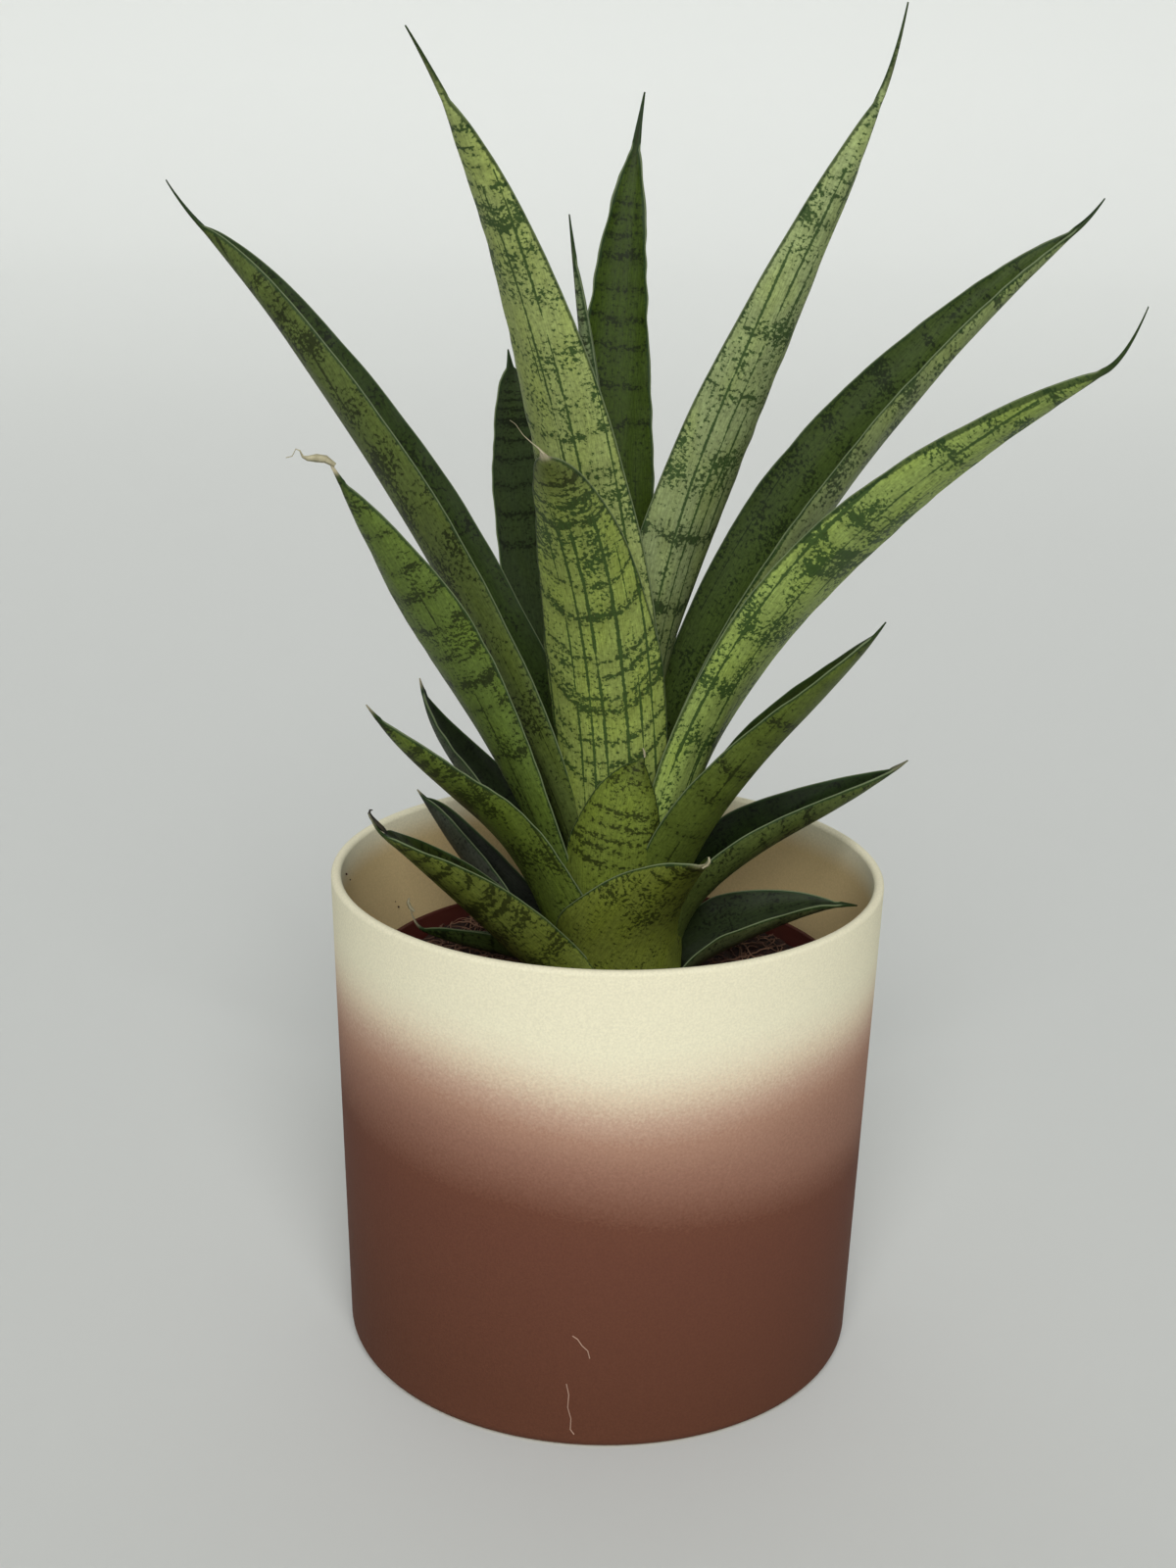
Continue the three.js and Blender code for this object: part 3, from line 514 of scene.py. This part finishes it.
# The pattern of the skin has a stretch of its own in mm for each leaf and for each face of it
LEAF_STRETCH, FACE_STRETCH = 400, 40
# The mesh of a blade: points round its section, mm from row to row, and the awn's share of the rows
SECTION_POINTS, ROW_PITCH, AWN_ROWS = 56, 0.95, 0.08


def mix(a, b, share):
    """The value at that share of the way from a to b."""
    return a + (b - a) * share


def ease(value, start, end):
    """0 up to start and 1 from end on, with a smooth step between them."""
    share = min(max((value - start) / (end - start), 0), 1)
    return share * share * (3 - 2 * share)


def midrib_ends(leaf):
    """The four control points of the cubic curve through the leaf's foot, lower, upper and tip."""
    through = []
    for key in ("foot", "lower", "upper", "tip"):
        outward, height, sideways = (*leaf[key], 0)[:3]
        turn = math.radians(leaf.get("grows", leaf["points"]) if key == "foot" else leaf["points"])
        through.append(Vector((CROWN_X + outward * math.cos(turn) - sideways * math.sin(turn),
                               CROWN_Y + outward * math.sin(turn) + sideways * math.cos(turn), height)))
    a, b, c, d = through
    return a, (-5 * a + 18 * b - 9 * c + 2 * d) / 6, (2 * a - 9 * b + 18 * c - 5 * d) / 6, d


def midrib_at(ends, t):
    """The midrib's point and its direction at t from 0 to 1."""
    a, b, c, d = ends
    s = 1 - t
    point = a * s ** 3 + b * (3 * s * s * t) + c * (3 * s * t * t) + d * t ** 3
    return point, ((b - a) * (s * s) + (c - b) * (2 * s * t) + (d - c) * (t * t)).normalized()


def blade_row(leaf, ends, length, along, seed):
    """What is the same all across the blade at along from 0 to 1: place, directions, width and bend."""
    blade_end = 1 - leaf["awn"] / length
    part, awn_part = min(along / blade_end, 1), max((along - blade_end) / (1 - blade_end), 0)
    point, tangent = midrib_at(ends, along)
    point.z += leaf.get("hook", 0) * awn_part ** 2
    turn = math.radians(mix(leaf.get("grows", leaf["points"]), leaf["points"], ease(part, 0, 0.6)))
    sideways = Vector((-math.sin(turn), math.cos(turn), 0))
    run = Vector((0, 0, 1)).lerp(tangent, ease(part, 0, 0.22)).normalized()
    inward = run.cross(sideways).normalized()
    side = inward.cross(run)
    roll = math.radians(leaf.get("roll", 0)) * ease(part, 0, 0.6)
    if part < leaf["belly"]:
        width = mix(leaf["base"], leaf["width"], math.sin(math.pi / 2 * part / leaf["belly"]))
    else:
        beyond = (part - leaf["belly"]) / (1 - leaf["belly"])
        width = leaf["width"] * max(1 - beyond ** 1.3, 0) ** leaf.get("blunt", 0.7)
    width *= 1 + 0.025 * noise.noise((along * length / 14, seed, 0.5))
    width = max(width, mix(2.2, 0.35, awn_part ** 0.8))
    curl = mix(leaf["base"] / leaf["foot"][0], math.radians(leaf["fold"]), ease(part, 0, 0.35))
    fold = mix(curl, math.radians(leaf["tipFold"]), ease(part, 0.6, 1))
    slim = min(width / 8, 1)
    edge = mix(0.8, 0.3, awn_part)
    return dict(point=point, up=inward * math.cos(roll) + side * math.sin(roll), part=part,
                aside=side * math.cos(roll) - inward * math.sin(roll), width=width, fold=fold, edge=edge,
                rib=max(mix(leaf["thick"], 1.1, part) - edge, 0) * slim, run=along * length, slim=slim)


def blade_point(leaf, row, turn, seed):
    """The blade's point where turn goes once round its section, and where it is across, from -1 to 1."""
    across = math.cos(turn)
    face = 1 if math.sin(turn) > 0 else -1
    half = (row["edge"] * abs(math.sin(turn)) ** 0.6 + row["rib"] * (1 - abs(across) ** 2.2)) / 2
    dents = 0.30 * noise.noise((across * row["width"] / 7, row["run"] / 24, seed))
    ribs = 0.10 * noise.noise((across * row["width"] / 1.6, row["run"] / 60, seed + 7))
    ripple = leaf.get("wave", 0.22) * across ** 6 * noise.noise((row["run"] / 5, across, seed + 3))
    offset = face * half + (dents + ribs * (1 - across ** 4) + ripple * 1.6) * row["slim"]
    bend, angle = row["width"] / row["fold"], across * row["fold"] / 2
    point = (row["point"] + row["aside"] * ((bend - offset) * math.sin(angle))
             + row["up"] * (bend - (bend - offset) * math.cos(angle)))
    return point, across, face


def leaf_rungs(leaf, length, seed):
    """Each dark band's place in mm from the foot, its width and its density."""
    thin, bold, loose = (0.65, 0.9), (1.4, 1.0), (2.8, 0.48)
    if "rungs" in leaf:
        return [(place, *kind) for key, kind in (("rungs", thin), ("bold", bold), ("loose", loose))
                for place in leaf.get(key, ())]
    # A leaf that can't be seen from in front gets random bands, which crowd towards the tip
    chance, place, found = random.Random(int(seed * 10)), 0.2 * length, []
    while place < length - leaf["awn"]:
        found.append((place, *chance.choice((thin, thin, bold, loose))))
        place += chance.uniform(4, 12) * (1.2 - 0.8 * place / length)
    return found


def band_strength(leaf, rungs, row, across, seed):
    """How dark the nearest band is there, and how near it is. Bands bow, wander and fade in patches."""
    aside = across * row["width"] / 2
    wander = 1.3 * noise.noise((aside / 4, row["run"] / 14, seed + 20))
    place = row["run"] - leaf.get("bow", 0.016) * aside * aside + wander
    dark = near = 0
    for number, (rung, wide, dense) in enumerate(rungs):
        if abs(place - rung) < 5 * wide:
            near = max(near, dense * math.exp(-((place - rung) / (1.9 * wide)) ** 2))
            patch = 0.72 + 1.3 * noise.noise((aside / 4, number * 3.3, seed + 40))
            patch = min(max(patch, leaf.get("even", 0.3)), 1)
            dark = max(dark, dense * patch * math.exp(-((place - rung) / wide) ** 2))
    return dark, near


def leaf_blade(leaf, number):
    """A leaf's closed mesh, with what its skin needs to know kept on its vertices."""
    ends, seed = midrib_ends(leaf), number * 11.7
    steps = [midrib_at(ends, i / 64)[0] for i in range(65)]
    length = sum((b - a).length for a, b in zip(steps, steps[1:]))
    blade_end = 1 - leaf["awn"] / length
    rows = max(int(length / ROW_PITCH), 60)
    rungs = leaf_rungs(leaf, length, seed)
    bm = bmesh.new()
    skin, spot, marks, lines = [bm.verts.layers.float_vector.new(name)
                                for name in ("skin", "spot", "marks", "lines")]
    ground = bm.verts.layers.float_color.new("ground")
    bmesh.ops.create_grid(bm, x_segments=SECTION_POINTS, y_segments=rows, size=1)
    known = {}
    outer, inner = Vector(hex_colour(leaf["outer"])), Vector(hex_colour(leaf["inner"]))
    for vert in bm.verts:
        x, share = vert.co.x, (vert.co.y + 1) / 2
        if share < 1 - AWN_ROWS:
            along = blade_end * share / (1 - AWN_ROWS)
        else:
            along = mix(blade_end, 1, (share - 1 + AWN_ROWS) / AWN_ROWS)
        key = round(share * rows)
        if key not in known:
            known[key] = blade_row(leaf, ends, length, along, seed)
        row = known[key]
        point, across, face = blade_point(leaf, row, math.pi * x, seed)
        vert.co = point * MM
        inward = (1 + face) / 2 if abs(across) < 0.9999 else 0.5
        vert[skin] = (across * row["width"] / 2, row["run"] + LEAF_STRETCH * number, FACE_STRETCH * inward)
        awn_from = length - leaf["awn"]
        margin = (1 - abs(across)) * row["width"] / 2 + 0.35 * ease(row["run"], awn_from - 2, awn_from + 1)
        dark, near = band_strength(leaf, rungs, row, across, seed)
        vert[spot] = (margin, dark * leaf["bands"], inward)
        streaks_end = awn_from - 14
        fading = 1 - ease(row["run"], streaks_end - 16, streaks_end)
        rim = leaf.get("rim", 0.25) * mix(0.3, 1, ease(row["part"], 0.4, 1.0))
        vert[marks] = (rim, leaf["streaks"] * fading, leaf["specks"])
        vert[lines] = leaf.get("lines", NO_LINES) if row["run"] < streaks_end - 5 else NO_LINES
        # The ground colour: the face's colour, which holds painted shade, times the tone, which paints
        # shade and light along the blade, and a little darker round each band
        tone = mix(*leaf.get("tone", (0.9, 1.0)), row["part"])
        colour = outer.lerp(inner, inward) * tone * (1 - 0.24 * near)
        dark_from = awn_from - leaf.get("dark", 10)
        dark_tip = 1 - 0.55 * ease(row["run"], dark_from, dark_from + 12)
        dark_tip *= 1 - 0.35 * ease(row["run"], awn_from - 1, awn_from + 4)
        dry_length, paleness = leaf.get("dry", (-9, 0))
        dry = paleness * ease(row["run"], length - dry_length - 1.5, length - dry_length + 1)
        vert[ground] = (colour.x * dark_tip, colour.y * dark_tip, colour.z * dark_tip, dry)
    bmesh.ops.remove_doubles(bm, verts=bm.verts[:], dist=1e-6)
    bmesh.ops.holes_fill(bm, edges=[edge for edge in bm.edges if edge.is_boundary], sides=0)
    bmesh.ops.recalc_face_normals(bm, faces=bm.faces[:])
    return bm


# Waxy leaf skin: satin green, with ragged dark cross-bands, broken dark streaks along the veins and
# scattered specks. The margin has a dark border and a thin pale line on its very edge.
leaf_skin, tree, shader = new_material("waxy_leaf_skin")
layers = {name: add_node(tree, "Attribute", {"attribute_name": name})
          for name in ("skin", "spot", "marks", "lines", "ground")}
on_skin, spot, marks, lines = [add_node(tree, "SeparateXYZ", links={0: layers[name].outputs["Vector"]})
                               for name in ("skin", "spot", "marks", "lines")]
ground = layers["ground"]
margin, bands, inward = spot.outputs["X"], spot.outputs["Y"], spot.outputs["Z"]
aside_mm, run_mm, face_mm = on_skin.outputs["X"], on_skin.outputs["Y"], on_skin.outputs["Z"]

# Noises on the skin: how often each turns per mm across and along the blade, its octaves and their
# roughness. The cells, about 0.7 mm wide and 0.6 mm long, decide where a dark mark breaks off. The
# patches of loose specks are some 8 mm wide and 14 mm long. The warp bends the streaks, and the dashes
# of the heavy ones are 5 to 30 mm long. The sway is a slow drift of tone, and the veins are 0.4 mm wide.
SKIN_NOISES = {
    "cells": ((0.98, 1.10, 1.0), 4.0, 0.62), "patch": ((0.16, 0.09, 1.0), 1.0, 0.5),
    "warp": ((0.20, 0.007, 1.0), 1.0, 0.5), "heavy": ((0.33, 0.05, 1.0), 2.0, 0.7),
    "sway": ((0.16, 0.06, 1.0), 1.0, 0.6), "vein": ((2.6, 0.30, 1.0), 2.0, 0.65),
}
noises = {}
for name, (often, octaves, roughness) in SKIN_NOISES.items():
    place = add_node(tree, "VectorMath", {"operation": "MULTIPLY", 1: often},
                     {0: layers["skin"].outputs["Vector"]})
    noises[name] = add_node(tree, "TexNoise", {"Scale": 1.0, "Detail": octaves, "Roughness": roughness},
                            {"Vector": place})
cells, patch, warp, heavy, sway, vein = noises.values()

# Bands and specks: the cells turn dark where a band or a patch of specks lifts them past a level
speck_patch = add_node(tree, "MapRange", {"From Min": 0.43, "From Max": 0.66, "To Max": 0.155},
                       {"Value": patch})
speck_lift = add_node(tree, "Math", {"operation": "MULTIPLY"}, {0: speck_patch, 1: marks.outputs["Z"]})
lift = add_node(tree, "Math", {"operation": "MULTIPLY_ADD", 1: 0.27}, {0: bands, 2: speck_lift})
lifted = add_node(tree, "Math", {"operation": "ADD"}, {0: cells, 1: lift})
blots = add_node(tree, "MapRange", {"From Min": 0.615, "From Max": 0.67}, {"Value": lifted})

# Streaks: hair-thin lines some 3 mm apart, 20 to 60 mm long, and broken into dashes. Each line has a
# chance of its own to lie off the middle and to be missing.
STREAK_GAP = 2.9
line_share = add_node(tree, "Math", {"operation": "DIVIDE", 1: STREAK_GAP}, {0: aside_mm})
line_at = add_node(tree, "Math", {"operation": "MULTIPLY_ADD", 1: 1.15}, {0: warp, 2: line_share})
line_number = add_node(tree, "Math", {"operation": "FLOOR"}, {0: line_at})
in_line = add_node(tree, "Math", {"operation": "FRACT"}, {0: line_at})
leaf_share = add_node(tree, "Math", {"operation": "DIVIDE", 1: LEAF_STRETCH}, {0: run_mm})
leaf_number = add_node(tree, "Math", {"operation": "FLOOR"}, {0: leaf_share})
line_key = add_node(tree, "CombineXYZ", links={"X": line_number, "Y": leaf_number, "Z": face_mm})
chance = add_node(tree, "TexWhiteNoise", links={"Vector": line_key})
luck = add_node(tree, "SeparateXYZ", links={0: chance.outputs["Color"]})
line_middle = add_node(tree, "MapRange", {"To Min": 0.30, "To Max": 0.70},
                       {"Value": chance.outputs["Value"]})
off_line = add_node(tree, "Math", {"operation": "SUBTRACT"}, {0: in_line, 1: line_middle})
from_line = add_node(tree, "Math", {"operation": "ABSOLUTE"}, {0: off_line})
# The dashes are some 20 mm long, and each line has its own
dash_x = add_node(tree, "Math", {"operation": "MULTIPLY", 1: 5.3}, {0: line_number})
dash_y = add_node(tree, "Math", {"operation": "MULTIPLY", 1: 0.045}, {0: run_mm})
dash_at = add_node(tree, "CombineXYZ", links={"X": dash_x, "Y": dash_y, "Z": face_mm})
dash = add_node(tree, "TexNoise", {"Scale": 1.0, "Detail": 3.0, "Roughness": 0.72}, {"Vector": dash_at})
present = add_node(tree, "MapRange", {"To Min": -0.34, "To Max": 0.14}, {"Value": luck.outputs["Y"]})
likely = add_node(tree, "Math", {"operation": "ADD"}, {0: dash, 1: present})
drawn = add_node(tree, "Math", {"operation": "MULTIPLY_ADD", 1: 0.26}, {0: marks.outputs["Y"], 2: likely})
half_width = add_node(tree, "MapRange", {"From Min": 0.56, "From Max": 0.80, "To Min": -0.02,
                                         "To Max": 0.11}, {"Value": drawn})
past_edge = add_node(tree, "Math", {"operation": "SUBTRACT"}, {0: from_line, 1: half_width})
frayed = add_node(tree, "Math", {"operation": "MULTIPLY_ADD", 1: -0.22}, {0: cells, 2: past_edge})
streaks = add_node(tree, "MapRange", {"From Min": -0.085, "From Max": -0.125}, {"Value": frayed})

# Up to three of the veins on a leaf carry a heavier streak, some 0.6 mm wide
nearest = None
for axis in "XYZ":
    gap = add_node(tree, "Math", {"operation": "SUBTRACT"}, {0: aside_mm, 1: lines.outputs[axis]})
    gap = add_node(tree, "Math", {"operation": "ABSOLUTE"}, {0: gap})
    nearest = add_node(tree, "Math", {"operation": "MINIMUM"}, {0: nearest, 1: gap}) if nearest else gap
heavy_width = add_node(tree, "MapRange", {"From Min": 0.32, "From Max": 0.52, "To Min": -0.25,
                                          "To Max": 0.33}, {"Value": heavy})
off_heavy = add_node(tree, "Math", {"operation": "SUBTRACT"}, {0: nearest, 1: heavy_width})
frayed_heavy = add_node(tree, "Math", {"operation": "MULTIPLY_ADD", 1: -0.8}, {0: cells, 2: off_heavy})
heavy_streaks = add_node(tree, "MapRange", {"From Min": -0.34, "From Max": -0.46}, {"Value": frayed_heavy})
all_streaks = add_node(tree, "Math", {"operation": "MAXIMUM"}, {0: heavy_streaks, 1: streaks})
dark_part = add_node(tree, "Math", {"operation": "MAXIMUM"}, {0: blots, 1: all_streaks})

# The green itself, with fine veins and a slow drift towards yellow, and the dark green of the marks
vein_tone = add_node(tree, "MapRange", {"From Min": 0.3, "From Max": 0.7, "To Min": 0.76, "To Max": 1.24},
                     {"Value": vein})
mottle = add_node(tree, "MapRange", {"From Min": 0.35, "From Max": 0.65, "To Min": 1.16, "To Max": 0.80},
                  {"Value": cells})
both_tones = add_node(tree, "Math", {"operation": "MULTIPLY"}, {0: vein_tone, 1: mottle})
veined = add_node(tree, "VectorMath", {"operation": "SCALE"},
                  {0: ground.outputs["Color"], "Scale": both_tones})
yellow_part = add_node(tree, "MapRange", {"From Min": 0.42, "From Max": 0.70, "To Max": 0.20},
                       {"Value": sway})
green = add_node(tree, "MixRGB", {"blend_type": "SOFT_LIGHT", "Color2": hex_colour("#C9CF5C")},
                 {"Fac": yellow_part, "Color1": veined})
mark_green = add_node(tree, "MixRGB", {"Color1": hex_colour("#2E4720"), "Color2": hex_colour("#131F0C")},
                      {"Fac": inward})
shaded = add_node(tree, "VectorMath", {"operation": "SCALE", "Scale": 0.23}, {0: green})
mark_colour = add_node(tree, "MixRGB", {"blend_type": "DARKEN", "Fac": 1.0},
                       {"Color1": mark_green, "Color2": shaded})
strength = add_node(tree, "MapRange", {"To Min": 0.90, "To Max": 0.78}, {"Value": inward})
dark_share = add_node(tree, "Math", {"operation": "MULTIPLY"}, {0: dark_part, 1: strength})
marked = add_node(tree, "MixRGB", links={"Fac": dark_share, "Color1": green, "Color2": mark_colour})

# The margin: a thin dark border, widest towards the tip, and outside it a hair-thin pale line
past_rim = add_node(tree, "Math", {"operation": "SUBTRACT"}, {0: margin, 1: marks.outputs["X"]})
ragged = add_node(tree, "Math", {"operation": "MULTIPLY_ADD", 1: -1.0}, {0: cells, 2: past_rim})
border = add_node(tree, "MapRange", {"From Min": 0.15, "From Max": -0.15, "To Max": 0.8}, {"Value": ragged})
bordered = add_node(tree, "MixRGB", {"Color2": hex_colour("#24381A")}, {"Fac": border, "Color1": marked})
pale_line = add_node(tree, "MapRange", {"From Min": 0.28, "From Max": 0.16, "To Max": 0.36},
                     {"Value": margin})
edged = add_node(tree, "MixRGB", {"Color2": hex_colour("#98A47C")}, {"Fac": pale_line, "Color1": bordered})

# The last millimetres of some leaves have withered to papery tan
husk = add_node(tree, "MixRGB", {"Color1": hex_colour("#6E5A34"), "Color2": hex_colour("#E6DEBE")},
                {"Fac": vein})
colour = add_node(tree, "MixRGB", links={"Fac": ground.outputs["Alpha"], "Color1": edged, "Color2": husk})
rough = add_node(tree, "MapRange", {"To Min": 0.42, "To Max": 0.62}, {"Value": vein})
bump = add_node(tree, "Bump", {"Strength": 0.25, "Distance": 0.0003}, {"Height": vein})
tree.links.new(colour.outputs[0], shader.inputs["Base Color"])
tree.links.new(rough.outputs[0], shader.inputs["Roughness"])
tree.links.new(bump.outputs[0], shader.inputs["Normal"])
shader.inputs["IOR"].default_value = 1.45
shader.inputs["Specular IOR Level"].default_value = 0.18

for number, leaf in enumerate(LEAVES, 1):
    place_piece(leaf["name"] + "_blade", leaf_blade(leaf, number), leaf_skin, [leaf["name"]])

# Withered ends: the last millimetres of some awns have dried out. They are dead leaf, papery and tan,
# shrunk to threads that curl, and they are still held on the tips where they grew.
husk_end, tree, shader, _ = mottled_material("papery_dry_leaf_end", "#72684A", "#CFC8A6", 1.43, 3.0)
shader.inputs["Roughness"].default_value = 0.75

# Each is held on the tip of the leaf of that name, and gives (x, y, z, radius) steps in mm from it
THREADS = {
    "leaf_10_left": [(1.5, 0, -1.2, 0.5), (-0.6, 0, 0.1, 0.9), (-2.6, 0, 0.3, 0.95), (-4.6, 0, 0.2, 0.6),
                     (-5.6, -0.4, 0.6, 0.3), (-6.2, -0.6, 2.0, 0.16), (-7.1, -0.5, 2.3, 0.12),
                     (-8.0, 0, 0.6, 0.12), (-9.4, 0.3, 0.2, 0.10)],
    "leaf_09_front": [(0.6, 0, -0.8, 0.3), (-0.4, 0, 0.3, 0.2), (-1.8, 0, 1.4, 0.10), (-3.6, 0, 3.0, 0.07),
                      (-5.2, 0, 5.2, 0.06), (-6.4, 0.2, 6.0, 0.05)],
    "leaf_15_front": [(0, 0, -0.6, 0.35), (0, 0, 0.6, 0.28), (-0.4, 0, 1.6, 0.14)],
    "leaf_20_front": [(-1.2, -0.4, -0.9, 0.25), (-0.1, -0.6, 0, 0.42), (0.3, -0.7, 0.9, 0.36),
                      (0.1, -0.5, 1.9, 0.22)],
    "leaf_23_left": [(1.0, 0, -0.8, 0.4), (0, 0, 0.3, 0.5), (-0.5, 0, 1.6, 0.45), (-0.2, 0, 2.8, 0.2)],
}


def on_tip(leaf, steps):
    """A strand's steps from the tip of a leaf, as places and radii."""
    end = midrib_ends(leaf)[3] + Vector((0, 0, leaf.get("hook", 0)))
    return [(end + Vector(step[:3]), step[3]) for step in steps]


threads = [on_tip(leaf, THREADS[leaf["name"]]) for leaf in LEAVES if leaf["name"] in THREADS]
strands_piece("withered_leaf_ends", threads, husk_end)

# One low leaf on the left has a thicker end, which has dried nearly black and bent to a hook
black_end, tree, shader, _ = mottled_material("blackened_dry_leaf_end", "#191810", "#3C3424", 2.0, 3.0,
                                              span=(0.45, 0.75))
shader.inputs["Roughness"].default_value = 0.7
HOOK = [(4.0, 2.1, -5.4, 0.3), (2.9, 1.6, -4.1, 0.6), (1.6, 0.9, -2.6, 0.65), (0.6, 0.4, -1.1, 0.5),
        (0.1, 0.2, 0.0, 0.38), (0.3, 0.2, 0.8, 0.3), (0.9, 0.2, 0.8, 0.2)]
hooked = next(leaf for leaf in LEAVES if leaf["name"] == "leaf_22_left")
strands_piece("blackened_leaf_end", [on_tip(hooked, HOOK)], black_end)

# Loose matter from potting: crumbs of moist coir cling to the cover pot's inner wall, and two hairs
# of bleached coir to its outside, held by damp alone. Each crumb is (x, y, z, radius) in mm.
CRUMBS = [(-64.5, 2.1, 118.5, 0.3), (-64.1, 6.5, 115.4, 0.2), (-54.7, 33.2, 98.1, 0.28),
          (-55.3, 31.0, 100.4, 0.2), (28.6, 57.0, 96.4, 0.7), (26.4, 58.1, 97.0, 0.45),
          (24.6, 58.8, 96.2, 0.35)]
crumb_bm = bmesh.new()
for x, y, z, size in CRUMBS:
    lump = bmesh.ops.create_icosphere(crumb_bm, subdivisions=1, radius=size * MM)
    for vert in lump["verts"]:
        vert.co += 0.3 * size * MM * Vector((rng.uniform(-1, 1), rng.uniform(-1, 1), rng.uniform(-1, 1)))
    bmesh.ops.translate(crumb_bm, verts=lump["verts"], vec=(x * MM, y * MM, z * MM))
place_piece("clinging_crumbs", crumb_bm, coir, [])

# Bleached coir: a dull, pinkish tan hair
pale_fibre, tree, shader, _ = mottled_material("bleached_coir_fibre", "#8E6A5A", "#C9A892", 3.33, 2.0)
shader.inputs["Roughness"].default_value = 0.8


def hair_on_wall(places):
    """A hair that lies on the cover pot's outside through places of (x, height) in mm on its front."""
    strand = []
    for x, height in places:
        reach = COVER_FOOT + (COVER_TOP - COVER_FOOT) * height / COVER_HEIGHT + 0.05
        strand.append(((x, -math.sqrt(reach * reach - x * x), height), 0.13))
    return strand


hairs = [hair_on_wall([(-5.6, 31.0), (-4.4, 30.2), (-3.4, 28.6), (-2.0, 27.2), (-1.5, 25.2)]),
         hair_on_wall([(-6.8, 17.9), (-6.2, 15.0), (-6.4, 11.5), (-5.6, 8.5), (-5.7, 5.5), (-4.8, 4.2)])]
strands_piece("clinging_fibres", hairs, pale_fibre)

# Floor: a plain sheet of matt pale paper, which is only the backdrop. It lies flat and curves up all
# round, so that no edge shows from any side.
SWEEP = [(0, 0), (1900, 0), (2350, 120), (2620, 420), (2700, 900), (2700, 2600)]
sweep_bm = turned_wall(SWEEP, {2: (200, 8), 3: (200, 8)}, 96)
for face in sweep_bm.faces:
    face.normal_flip()
sweep_mesh = bpy.data.meshes.new("studio_sweep")
sweep_bm.to_mesh(sweep_mesh)
sweep_bm.free()
sweep_mesh.shade_smooth()
sweep = bpy.data.objects.new("studio_sweep", sweep_mesh)
bpy.context.collection.objects.link(sweep)
paper, tree, shader = new_material("pale_paper_sweep")
shader.inputs["Base Color"].default_value = hex_colour("#D6D8D5")
shader.inputs["Roughness"].default_value = 0.9
sweep_mesh.materials.append(paper)
sweep.visible_shadow = False

# Light: a large soft light high in front, a weak one from the far side, and a faint fill all round.
# Each lamp is its name, its strength, how many degrees it spans, and the way it shines.
FILL = 0.06
LAMPS = [("window_light", 2.6, 38, (-0.03, 0.775, -0.63)),
         ("far_side_light", 0.42, 70, (0.08, -0.84, -0.54))]
world = bpy.data.worlds.new("soft_fill_light")
bpy.context.scene.world = world
world.use_nodes = True
world.node_tree.nodes["Background"].inputs["Color"].default_value = hex_colour("#F7FAFF")
world.node_tree.nodes["Background"].inputs["Strength"].default_value = FILL
for name, energy, span, way in LAMPS:
    light = bpy.data.lights.new(name, "SUN")
    light.energy, light.angle = energy, math.radians(span)
    lamp = bpy.data.objects.new(name, light)
    lamp.rotation_euler = Vector(way).to_track_quat("-Z", "Y").to_euler()
    bpy.context.collection.objects.link(lamp)

# Camera: it looks at the plant from the photograph's place, 520 mm in front of the pot and 312 mm up,
# tilted down by 18 degrees. EYE is in metres, the lens and the sensor in mm, and the view in radians.
EYE, FOCAL_LENGTH, SENSOR = (0, -0.520, 0.3123), 51.75, 36
VIEW_YAW, VIEW_PITCH, VIEW_ROLL = -0.0100, 0.3130, 0.0200
forward = Vector((math.sin(VIEW_YAW) * math.cos(VIEW_PITCH), math.cos(VIEW_YAW) * math.cos(VIEW_PITCH),
                  -math.sin(VIEW_PITCH)))
level_right = forward.cross(Vector((0, 0, 1))).normalized()
level_up = level_right.cross(forward)
right = level_right * math.cos(VIEW_ROLL) + level_up * math.sin(VIEW_ROLL)
up = level_up * math.cos(VIEW_ROLL) - level_right * math.sin(VIEW_ROLL)
lens = bpy.data.cameras.new("camera")
lens.lens, lens.sensor_width, lens.clip_start = FOCAL_LENGTH, SENSOR, 0.01
camera = bpy.data.objects.new("camera", lens)
camera.matrix_world = Matrix((right, up, -forward)).transposed().to_4x4()
camera.location = EYE
bpy.context.collection.objects.link(camera)
bpy.context.scene.camera = camera
bpy.context.scene.view_settings.view_transform = "Standard"
